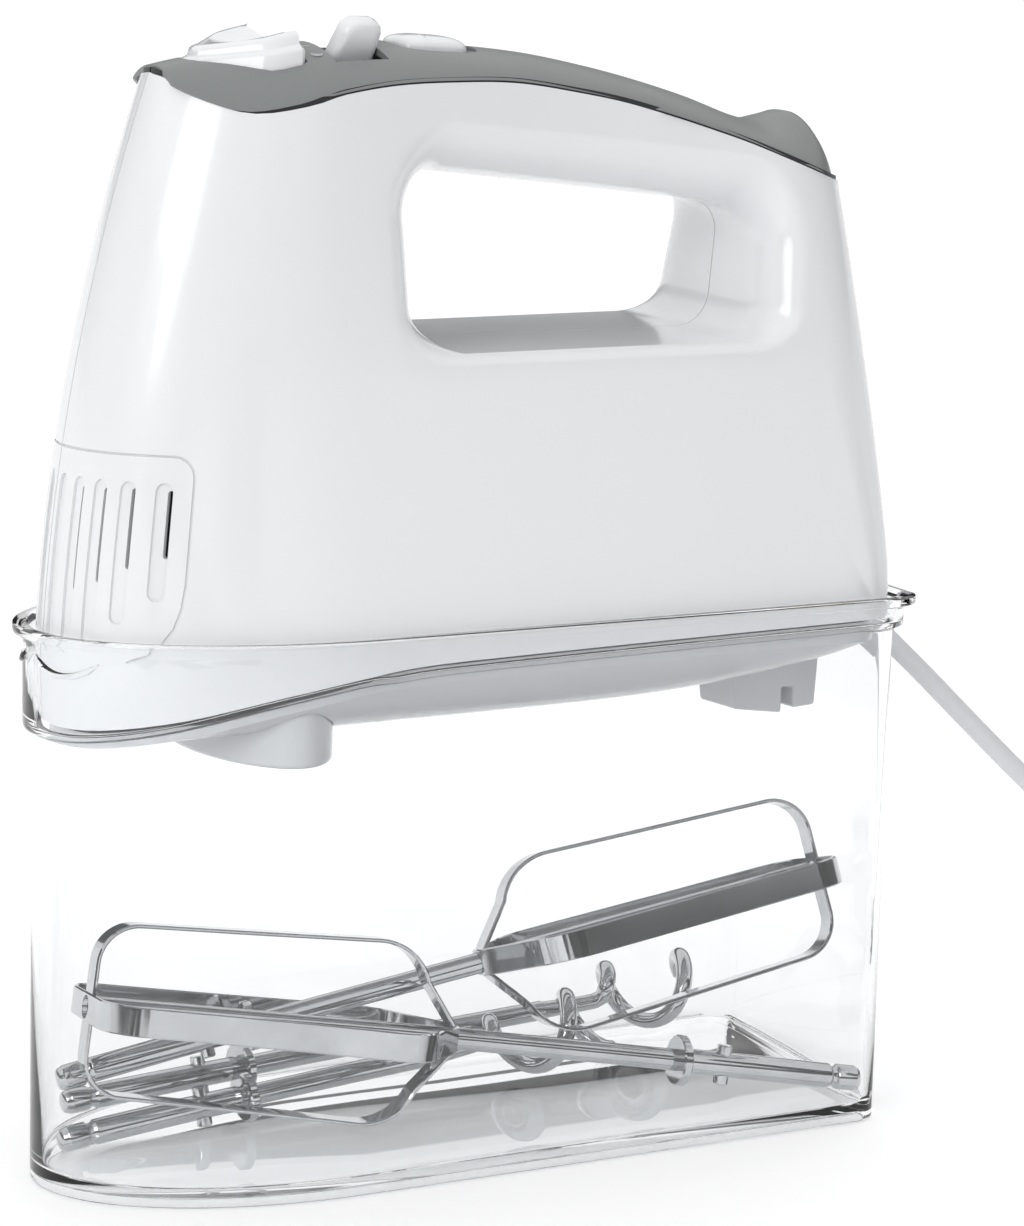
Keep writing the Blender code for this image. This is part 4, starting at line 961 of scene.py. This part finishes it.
# %% [markdown]
# ## The controls
#
# The ejector is a blunt wedge with a raised lip and a thumb scoop, the speed lever is a paddle on a
# round hub, and the turbo button is a low dome with a crease across it.  The ejector comes first: its
# outline is shrunk row by row towards the top, and a large ball cuts the scoop.

# %% Eject button
SCOOP_RADIUS = 22.0


def eject_button():
    rows = [(0.0, 236.5, 0.0), (0.0, 244.6, 0.15), (0.3, 245.2, 0.16), (1.0, 245.6, 0.17),
            (1.6, 245.8, 0.18), (1.8, 246.2, 0.19), (1.9, 246.9, 0.20), (2.2, 247.5, 0.21),
            (2.8, 247.9, 0.22), (3.6, 248.0, 0.22)]
    loops = [[(x, y, z + slope * (x + 56)) for x, y in eject_outline(-inset)] for inset, z, slope in rows]
    button = piece("eject_cap", skin(loops, ends="fill"), WHITE, ["eject_button"], "eject")
    scoop = bmesh.new()
    bmesh.ops.create_uvsphere(scoop, u_segments=160, v_segments=96, radius=SCOOP_RADIUS * MM)
    bmesh.ops.translate(scoop, vec=Vector((-54.0, 0, 248.5 + SCOOP_RADIUS - 1.9)) * MM, verts=scoop.verts)
    cut(button, cutter("thumb_scoop", scoop))
    return applied(rounded(button, 0.35, 3, 50))


eject_button()

# %% [markdown]
# The lever is a flat paddle with soft long edges.  It leans to one side on a hub that the cover hides.

# %% Speed lever
LEVER_X, LEVER_AXIS_Z, LEVER_LEAN = -32.0, 225.0, math.radians(20)


def speed_lever():
    outline = [(-6.4, 3.0), (4.4, 3.0), (6.0, 20.0), (7.0, 26.6), (6.7, 28.0), (6.0, 28.8), (4.9, 29.3),
               (0.6, 29.4), (-0.6, 28.9), (-1.6, 28.1), (-2.2, 26.6), (-4.4, 20.0)]
    edit = slab([(x, z) for x, z in outline], -2.6, 2.6)
    bmesh.ops.bevel(edit, geom=[e for e in edit.edges if abs(e.verts[0].co.z - e.verts[1].co.z) < 1e-6],
                    offset=1.5 * MM, segments=4, profile=0.5, affect="EDGES", clamp_overlap=True,
                    material=-1)
    place = (Matrix.Translation(Vector((LEVER_X, 0, LEVER_AXIS_Z)) * MM)
             @ Matrix.Rotation(math.pi / 2 + LEVER_LEAN, 4, "X"))
    bmesh.ops.transform(edit, matrix=place, verts=edit.verts)
    paddle = piece("lever_paddle", edit, WHITE, ["speed_lever"], "speed_lever")
    hub = turning([(0, 0), (5.4, 0), (6.0, 0.6), (6.0, 8.2), (5.4, 8.8), (0, 8.8)],
                  (LEVER_X - 6.2, 0, LEVER_AXIS_Z), (1, 0, 0))
    return cut(paddle, cutter("lever_hub", hub), operation="UNION")


speed_lever()

# %% [markdown]
# The turbo button repeats the ejector's way: rows of one outline, here a rounded oblong, and a thin
# block cuts the crease.


# %% Turbo button
def turbo_button():
    rows = [(0.2, 243.6), (0.0, 244.0), (0.0, 246.0), (0.2, 246.7), (0.7, 247.3), (1.5, 247.8),
            (2.8, 248.2), (4.6, 248.5), (6.6, 248.6)]
    loops = [[(x, y, z - 0.07 * (x - TURBO.x)) for x, y in turbo_outline(-inset)] for inset, z in rows]
    button = piece("turbo_cap", skin(loops, ends="fill"), WHITE, ["turbo_button"], "turbo_button")
    crease = block((TURBO.x - 2.6, -12, 248.1), (TURBO.x - 2.1, 12, 252))
    cut(button, cutter("crease", crease))
    stem = turning([(0, 0), (2.0, 0), (2.0, 3.8), (0, 3.8)], (TURBO.x, TURBO.y, 241.2))
    return cut(button, cutter("turbo_stem", stem), operation="UNION")


turbo_button()

# %% [markdown]
# Printed marks are a few hundredths of a millimetre thick.  Here they are thin solids that sink into
# the cover, so that they stay visible in the exported meshes too.


# %% Speed marks
def cover_height(x, y):
    middle, edge = cover_point(x, 0.0), cover_point(x, 1.0)
    return edge[2] + (middle[2] - edge[2]) * clamp(1 - (y / edge[1]) ** 2) ** 0.8


def speed_marks():
    """A ring for off and four bars that grow, printed in front of the lever's slot."""
    x, ring_y = -40.6, -11.5
    ring = [(1.35, -0.3), (1.35, 0.07), (1.0, 0.07), (1.0, -0.3)]
    marks = [turning(ring, (x, ring_y, cover_height(x, ring_y)), ring=True)]
    for index, y in enumerate((-6.0, -0.5, 5.0, 10.5)):
        long = 0.9 + 0.55 * index
        z = cover_height(x, y)
        marks.append(block((x - long, y - 0.3, z - 0.3), (x + long, y + 0.3, z + 0.07)))
    return piece("speed_marks", joined(marks), MARK)


speed_marks()

# %% [markdown]
# ## The hull, the socket housing and the foot
#
# Below the case's ledge the mixer has a pale hull.  It is drawn as loops that shrink towards a line
# along its middle, then given a wall.


# %% Hull
def hull_loop(inset, scale, height):
    points = []
    nose = [NOSE_TIP + (NOSE_END - NOSE_TIP) * i / 26 for i in range(26)]
    flat = [NOSE_END + 121 * i / 30 for i in range(30)]
    for station in nose + flat + [90, 92, 94, 96, 98, 100, 103, 107, 112, 120, 128]:
        x, y = fold(station, 122)
        edge = ledge_height(station)
        x_in = x * (1 - inset / 97.0)
        y_in = max(y - inset, 0.0) if station > NOSE_END else y * (1 - inset / 35.8)
        spine = clamp(x_in, -45, 70)
        x_in = spine + (x_in - spine) * scale
        points.append((x_in, y_in * scale, height(x_in, edge)))
    return [(x, -y, z) for x, y, z in points] + [(x, y, z) for x, y, z in reversed(points)][1:-1]


def oval(cx, cy, rx, ry, count):
    return [(cx + rx * math.cos(2 * math.pi * i / count), cy + ry * math.sin(2 * math.pi * i / count))
            for i in range(count)]


SCREW_X = (-16.0, 22.0, 60.0)


def hull():
    loops = [hull_loop(2.6, 1.0, lambda x, edge: edge + LEDGE)]
    for scale in (1.0, 0.985, 0.96, 0.93, 0.89, 0.84, 0.77, 0.68, 0.56, 0.4, 0.2, 0.001):
        drop = 1.0 - scale ** 5
        loops.append(hull_loop(2.6, scale, lambda x, edge, drop=drop: min(edge - 1.6, 113.5)
                     + (min(hull_bottom(x), edge - 2.2) - min(edge - 1.6, 113.5)) * drop))
    made = piece("hull_shell", skin(loops), PALE, ["lower_cover"])
    wall = made.modifiers.new("wall", "SOLIDIFY")
    wall.thickness = 1.5 * MM
    wall.offset = -1.0
    applied(made)
    holes = [turning([(0, 0), (1.9, 0), (1.9, 22), (0, 22)], (x, 0, 90)) for x in SCREW_X]
    return cut(made, cutter("boss_hole", slab(oval(GEAR_X, 0, 14.8, 31.0, 64), 90, 118)),
               cutter("screw_holes", joined(holes)))


def socket_housing():
    rows = [(1.4, 95.6), (0.8, 95.7), (0.4, 95.9), (0.1, 96.3), (0.0, 96.8), (0.0, 108.0)]
    loops = [[(x, y, z) for x, y in oval(GEAR_X, 0, 14.4 - inset, 30.6 - inset, 96)] for inset, z in rows]
    made = piece("socket_housing", skin(loops, ends="fill"), PALE, ["socket_boss"])
    holes = [turning([(0, 90), (6.1, 90), (6.1, 95.9), (4.9, 97.1), (4.9, 112), (0, 112)],
                     (GEAR_X, side * GEAR_Y, 0)) for side in (-1, 1)]
    return cut(made, cutter("socket_holes", joined(holes)))


def foot():
    outline = [(69.5, 103.2), (70.6, 95.2), (83.4, 93.3), (83.4, 99.5), (86.4, 99.5), (86.4, 94.2),
               (92.4, 94.6), (93.2, 108.6), (84.0, 106.2)]
    edit = slab(outline, -8, 8)
    bmesh.ops.transform(edit, matrix=Matrix.Rotation(math.pi / 2, 4, "X"), verts=edit.verts)
    made = piece("heel_foot", edit, PALE, ["rear_foot"])
    return applied(rounded(made, 0.8, 3, 30))


hull()
socket_housing()
foot()

# %% [markdown]
# ## The clear case
#
# One wall section goes round the whole case: a foot ring, a thin wall, a ledge that follows the
# mixer's hull in an S, a collar that takes the mixer, and a rim.  Small radii at every corner give
# the plastic its bright and dark lines.

# %% Case
RIM_HALF_WIDTH, RIM_NOSE, RIM_HALF_LENGTH, RIM_CORNER = 40.0, 66.0, 102.5, 9.0
NOSE_STEPS, FLAT_STEPS, CORNER_STEPS = 44, 24, 12
COLLAR_OUT, COLLAR_IN, WALL_OUT, WALL_IN, FLOOR_TOP, FOOT_RECESS = 2.3, 3.5, 4.4, 5.7, 4.0, 2.3


def case_loop(inset, height):
    nose_x, corner = RIM_NOSE - RIM_HALF_LENGTH, RIM_CORNER - inset * 0.6
    rear, width = RIM_HALF_LENGTH - inset, RIM_HALF_WIDTH - inset
    half = []
    for step in range(NOSE_STEPS + 1):
        angle = math.pi / 2 * step / NOSE_STEPS
        half.append((nose_x - (RIM_NOSE - inset) * math.cos(angle), width * math.sin(angle),
                     NOSE_TIP + (NOSE_END - NOSE_TIP) * step / NOSE_STEPS))
    half += [(x, width, x) for x in [nose_x + (rear - corner - nose_x) * step / FLAT_STEPS
                                     for step in range(1, FLAT_STEPS)]]
    for step in range(CORNER_STEPS + 1):
        angle = math.pi / 2 * step / CORNER_STEPS
        x = rear - corner + corner * math.sin(angle)
        half.append((x, width - corner * (1 - math.cos(angle)), x))
    half += [(rear, 24.0, rear), (rear, 14.0, rear), (rear, 5.0, rear)]
    level = height if callable(height) else (lambda station: height)
    near = [(x, -y, level(station)) for x, y, station in half]
    return near + [(x, y, level(station)) for x, y, station in reversed(half[1:])]


def above_ledge(offset):
    return lambda station: ledge_height(station) + offset


# %% [markdown]
# The section is a list of pairs: how far the point lies inside the rim, and its height.  It starts at
# the foot ring, runs up the outside, over the rim, and down the inside to the floor.


# %% The case's section
def clear_case():
    out, into, lift = WALL_OUT, WALL_IN, above_ledge
    section = [(out + 2.2, FOOT_RECESS), (out + 1.6, FOOT_RECESS - 0.3), (out + 1.45, 0.3),
               (out + 1.1, 0.0), (out + 0.7, 0.0), (out + 0.3, 0.2), (out + 0.05, 0.6),
               (out, 1.2), (out, 60.0), (out, lift(-0.9)), (out - 0.2, lift(-0.5)),
               (out - 0.6, lift(-0.15)), (out - 1.0, lift(0.0)), (COLLAR_OUT + 0.7, lift(0.05)),
               (COLLAR_OUT + 0.2, lift(0.3)), (COLLAR_OUT, lift(0.9)), (COLLAR_OUT, lift(4.0)),
               (COLLAR_OUT, 121.2), (COLLAR_OUT - 0.3, 121.8), (COLLAR_OUT - 0.8, 122.0), (0.6, 122.0),
               (0.15, 122.2), (0.0, 122.7), (0.0, 123.3), (0.15, 123.75), (0.6, 124.0), (2.8, 124.0),
               (3.2, 123.85), (COLLAR_IN, 123.3), (COLLAR_IN, 120.5), (COLLAR_IN, lift(LEDGE + 0.8)),
               (COLLAR_IN + 0.25, lift(LEDGE + 0.25)), (COLLAR_IN + 0.8, lift(LEDGE)),
               (into - 0.7, lift(LEDGE)), (into - 0.2, lift(LEDGE - 0.2)), (into, lift(LEDGE - 0.8)),
               (into, 60.0), (into, FLOOR_TOP + 2.0), (into + 0.5, FLOOR_TOP + 0.6),
               (into + 1.8, FLOOR_TOP)]
    loops = [case_loop(inset, height) for inset, height in section]
    made = piece("case_shell", skin(loops, ends="fill"), CLEAR, ["storage_case"], CASE_BODY)
    cut(made, cutter("cord_notch", block((88, -8.5, 109.5), (110, 8.5, 130))))
    ribs = [cutter("finger_rib", finger_rib(side)) for side in SIDE_NAMES]
    return cut(made, *ribs, operation="UNION")


def finger_rib(side):
    """A curved rib on the collar, below the rim at the nose, that gives the fingers a hold."""
    loops = []
    for k in range(25):
        t = k / 24
        angle = math.pi / 2 * (0.05 + 0.27 * t)
        z = 118.9 - 3.4 * math.sin(math.pi * t) ** 0.8
        nose_x, size = RIM_NOSE - RIM_HALF_LENGTH, 0.75 * clamp(min(t, 1 - t) * 9, 0.35, 1.0)
        loop = []
        for j in range(12):
            around = 2 * math.pi * j / 12
            inset = COLLAR_OUT - size * math.cos(around)
            loop.append((nose_x - (RIM_NOSE - inset) * math.cos(angle),
                         side * (RIM_HALF_WIDTH - inset) * math.sin(angle), z + size * math.sin(around)))
        loops.append(loop)
    return skin(loops, ends="fill")


clear_case()

# %% [markdown]
# ## Beaters and dough hooks
#
# A beater is two strips of steel, each bent to a rounded rectangle and crossed over the rod, then
# chrome-plated.  A strip here is a rounded section carried along its path.  A dough hook is one rod
# that ends in a spiral.

# %% Tool shapes
VIEW = Vector((0.465, 0.843, -0.192)).normalized()
LUG_SIDE = Vector((0.47, 0.86, -0.19))
SHANK_LENGTH, ROD_RADIUS, HOOK_ROD, COLLAR_RADIUS = 44.0, 2.5, 2.0, 5.85
BEATER_LENGTH, CAGE_LENGTH, CAGE_HALF_WIDTH, STRIP_WIDTH, STRIP_THICK = 186.0, 84.0, 21.2, 6.4, 0.9
HOOK_RADIUS, HOOK_PITCH, HOOK_KNOTS, HOOK_SIDES = 7.8, 21.0, 12, 24
SHANK_PROFILE = [(0, 0), (1.5, 0), (2.1, 0.25), (2.5, 0.8), (2.7, 1.6), (2.9, 1.9), (2.9, 6.2),
                 (2.75, 6.45), (2.3, 6.8), (2.25, 7.6), (2.4, 8.0), (2.8, 8.4), (2.9, 8.7), (2.9, 43.6),
                 (2.75, 44.0), (2.5, 44.2)]


def cage_profile(lift):
    width, length, corner = CAGE_HALF_WIDTH + lift, CAGE_LENGTH, 9.0
    points = [(-lift, 2.6), (-lift, width * 0.25), (-lift, width - corner - 2.0)]
    for step in range(1, 13):
        angle = math.pi / 2 * step / 12
        points.append((corner - lift - corner * math.cos(angle),
                       width - corner - 2.0 + corner * math.sin(angle)))
    start, end = points[-1], (length - 20, width)
    points += [between(start, end, step / 8) for step in range(1, 8)]
    for step in range(13):
        angle = math.radians(70) * step / 12
        points.append((length - 20 + 13 * math.sin(angle), width - 13 + 13 * math.cos(angle)))
    start, end = points[-1], (length + lift, 2.6)
    points += [between(start, end, step / 4) for step in range(1, 5)]
    return points


def cage_strip(tip, toward, flat_side, lift):
    axis = heading(tip, toward)
    side = flat_side.cross(axis).normalized()
    half = cage_profile(lift)
    whole = half + [(s, -w) for s, w in reversed(half)]
    middle = [Vector(tip) + axis * s + side * w for s, w in whole]
    thick, wide, soft = STRIP_THICK / 2, STRIP_WIDTH / 2, 0.3
    section = [(-thick, soft - wide), (-thick, wide - soft), (soft - thick, wide), (thick - soft, wide),
               (thick, wide - soft), (thick, soft - wide), (thick - soft, -wide), (soft - thick, -wide)]
    loops = []
    for index, point in enumerate(middle):
        run = (middle[(index + 1) % len(middle)] - middle[index - 1]).normalized()
        outward = run.cross(flat_side).normalized()
        loops.append([point + outward * a + flat_side * b for a, b in section])
    return skin(loops, ends="join")


# %% [markdown]
# Beaters and hooks share one shank.  Its end is stepped for the spring that holds it in the mixer, a
# lug stands across it, and a collar sits behind the lug.


# %% Shank, lug and collar
def shank(tool, node, start, toward, length):
    axis = heading(start, toward)
    profile = SHANK_PROFILE + [(ROD_RADIUS, length - 0.4), (ROD_RADIUS - 0.4, length), (0, length)]
    shaft = piece(f"{tool}_shaft", turning(profile, start, axis, 40), CHROME, [node], CASE_BODY)
    across = axis.cross(LUG_SIDE).normalized()
    pin = Vector(start) + axis * (SHANK_LENGTH - 9)
    lug_profile = [(0, 0), (1.4, 0), (1.7, 0.3), (1.7, 8.9), (1.4, 9.2), (0, 9.2)]
    cut(shaft, cutter("lug", turning(lug_profile, pin - across * 4.6, across, 24)), operation="UNION")
    r, inner = COLLAR_RADIUS, ROD_RADIUS + 0.05
    ring = [(r - 0.35, 1.1), (r, 0.75), (r, -0.75), (r - 0.35, -1.1), (inner, -1.1), (inner, 1.1)]
    stop = turning(ring, Vector(start) + axis * (SHANK_LENGTH + 1.8), axis, 48, ring=True)
    piece(f"{tool}_stop", stop, CHROME, [f"{tool}_collar"], CASE_BODY)
    return shaft


# %% [markdown]
# A beater's two strips cross at the tip.  The second one lies half a millimetre outside the first, and
# both get a bore for the rod.


# %% Beaters
def beater(index, tip, end):
    axis = heading(tip, end)
    end = Vector(tip) + axis * BEATER_LENGTH
    flat_side = (VIEW - axis * VIEW.dot(axis)).normalized()
    other_side = axis.cross(flat_side).normalized()
    shank(f"beater_{index}", f"beater_{index}_rod", end, tip, BEATER_LENGTH - 1.4)
    cage = piece(f"beater_{index}_strips", cage_strip(tip, end, flat_side, 0.0), CHROME,
                 [f"beater_{index}_cage"], CASE_BODY)
    cut(cage, cutter("crossed", cage_strip(tip, end, other_side, 0.5)), operation="UNION")
    bore = turning([(0, -5), (2.6, -5), (2.6, CAGE_LENGTH + 5), (0, CAGE_LENGTH + 5)], tip, axis, 40)
    return cut(cage, cutter("bore", bore))


beater(1, (-86.0, 0.0, 38.8), (95.6, -30.0, 8.2))
beater(2, (90.7, -14.0, 55.3), (-87.0, 9.0, 20.0))

# %% [markdown]
# A dough hook's spiral is a round section swept along a helix.  The section is turned with the path,
# so that it never twists, and it gets thinner at the very end.


# %% Dough hooks
def dough_hook(index, start, toward, coil_start, turns, phase):
    """Shank and straight rod, and on its end a spiral swept along its own curve."""
    start, toward = Vector(start), Vector(toward)
    axis = heading(start, toward)
    side = axis.cross(Vector((0, 0, 1))).normalized()
    up_side = side.cross(axis).normalized()
    shaft = shank(f"dough_hook_{index}", f"dough_hook_{index}", start, toward, coil_start - 14)
    knots = [start + axis * (coil_start - 22), start + axis * (coil_start - 12)]
    for i in range(round(turns * HOOK_KNOTS) + 1):
        angle = phase + 2 * math.pi * i / HOOK_KNOTS
        middle = start + axis * (coil_start + HOOK_PITCH * i / HOOK_KNOTS)
        knots.append(middle + (side * math.cos(angle) + up_side * math.sin(angle))
                     * HOOK_RADIUS * ease((i + 1) / 4))
    path = spline_points(knots, 1.4)
    normal = up_side.copy()
    loops = []
    for k, point in enumerate(path):
        run = (path[min(k + 1, len(path) - 1)] - path[max(k - 1, 0)]).normalized()
        normal = (normal - run * normal.dot(run)).normalized()
        other = run.cross(normal)
        near_end = clamp((len(path) - 1 - k) / 2, 0.35, 1.0)
        radius = (HOOK_ROD + (ROD_RADIUS + 0.01 - HOOK_ROD) * clamp(1 - k / 10)) * near_end
        loops.append([point + (normal * math.cos(a) + other * math.sin(a)) * radius
                      for a in [2 * math.pi * j / HOOK_SIDES for j in range(HOOK_SIDES)]])
    return cut(shaft, cutter("spiral", skin(loops, ends="fill")), operation="UNION")


dough_hook(1, (-92.0, 3.0, 7.6), (30.0, 5.0, 16.3), 108, 1.6, math.radians(90))
dough_hook(2, (-88.5, 10.8, 13.2), (75.0, 20.2, 18.2), 140, 1.5, math.radians(20))

# %% [markdown]
# ## The studio
#
# A pale floor runs out of sight, and the room is a bright, even white.  Black flags stand beside
# the view on both sides.  They are what chrome and clear plastic need: without something dark to
# mirror, they would vanish against the white.


# %% Floor, flags and light
def stage_plane(name, centre, size, face, colour, roughness=0.6, glow=0.0):
    edit = bmesh.new()
    bmesh.ops.create_grid(edit, x_segments=1, y_segments=1, size=0.5)
    bmesh.ops.scale(edit, vec=(size[0], size[1], 1), verts=edit.verts)
    turn = Vector((0, 0, 1)).rotation_difference(Vector(face)).to_matrix().to_4x4()
    bmesh.ops.transform(edit, matrix=Matrix.Translation(centre) @ turn, verts=edit.verts)
    finish = Finish(name, colour, roughness, Specular_IOR_Level=0.2, Emission_Strength=glow)
    finish.set("Emission Color", (1.0, 1.0, 1.0, 1.0))
    made = as_object(name, edit)
    made.data.materials.append(finish.material)
    return made


stage_plane("floor", (0, 0, -0.0002), (30, 30), (0, 0, 1), (0.93, 0.93, 0.935), 0.7, 0.2)
LOOK = Vector((0, 0, 0.12))


def beside(right_by, toward_by, height):
    """A place given from the camera's point of view: to its right, towards it, and up."""
    away = Vector((math.sin(-AZIMUTH), math.cos(AZIMUTH), 0))
    return level_right * right_by - away * toward_by + Vector((0, 0, height))


FLAGS = [(-0.60, 0.25, 0.30, 0.22, 0.9), (0.62, 0.20, 0.28, 0.22, 0.9), (-0.36, 1.15, 0.22, 0.36, 0.34),
         (0.34, 1.15, 0.22, 0.30, 0.34), (-0.05, 1.2, 0.55, 0.20, 0.5), (0.0, 1.15, 0.06, 0.9, 0.09)]
for index, (to_right, toward, height, width, tall) in enumerate(FLAGS):
    spot = beside(to_right, toward, height)
    facing = LOOK - spot
    facing.z = 0
    flag = stage_plane(f"flag_{index}", spot, (width, tall), facing.normalized(), (0.004, 0.004, 0.004))
    flag.visible_shadow = False
    flag.visible_camera = False

# %% [markdown]
# The world lights by height: soft white below, a dark band at the horizon that curved gloss can
# mirror, and white above.  The camera itself sees plain white behind everything.

# %% The room
HORIZON_BANDS = [(0.0, 0.9), (0.045, 0.9), (0.06, 0.05), (0.24, 0.05), (0.36, 0.92)]
world = bpy.data.worlds.new("studio")
bpy.context.scene.world = world
world.use_nodes = True
sky = world.node_tree
direction = sky.nodes.new("ShaderNodeTexCoord").outputs["Generated"]
split = sky.nodes.new("ShaderNodeSeparateXYZ")
ramp = sky.nodes.new("ShaderNodeValToRGB")
sky.links.new(direction, split.inputs[0])
sky.links.new(split.outputs["Z"], ramp.inputs[0])
while len(ramp.color_ramp.elements) < len(HORIZON_BANDS):
    ramp.color_ramp.elements.new(0.5)
for stop, (height, light) in zip(ramp.color_ramp.elements, HORIZON_BANDS):
    stop.position = height
    stop.color = (light, light, light, 1.0)
seen = sky.nodes.new("ShaderNodeMix")
seen.data_type = "RGBA"
sky.links.new(sky.nodes.new("ShaderNodeLightPath").outputs["Is Camera Ray"], seen.inputs[0])
sky.links.new(ramp.outputs["Color"], seen.inputs[6])
seen.inputs[7].default_value = (1.0, 1.0, 1.0, 1.0)
sky.links.new(seen.outputs[2], sky.nodes["Background"].inputs["Color"])
sky.nodes["Background"].inputs["Strength"].default_value = 1.08

# %% [markdown]
# Two soft lamps shape the object: a key from the front on the left, and a weaker one overhead.


# %% Lamps
def softbox(name, spot, size, power):
    lamp = bpy.data.lights.new(name, "AREA")
    lamp.shape = "RECTANGLE"
    lamp.size, lamp.size_y = size
    lamp.energy = power
    made = bpy.data.objects.new(name, lamp)
    bpy.context.scene.collection.objects.link(made)
    made.location = spot
    made.rotation_euler = (LOOK - spot).to_track_quat("-Z", "Y").to_euler()
    return made


softbox("key", beside(-0.75, 1.3, 0.75), (0.8, 0.8), 8.0)
softbox("overhead", Vector((0, 0, 1.8)), (1.4, 1.4), 1.5)
bpy.context.scene.view_settings.view_transform = "Standard"
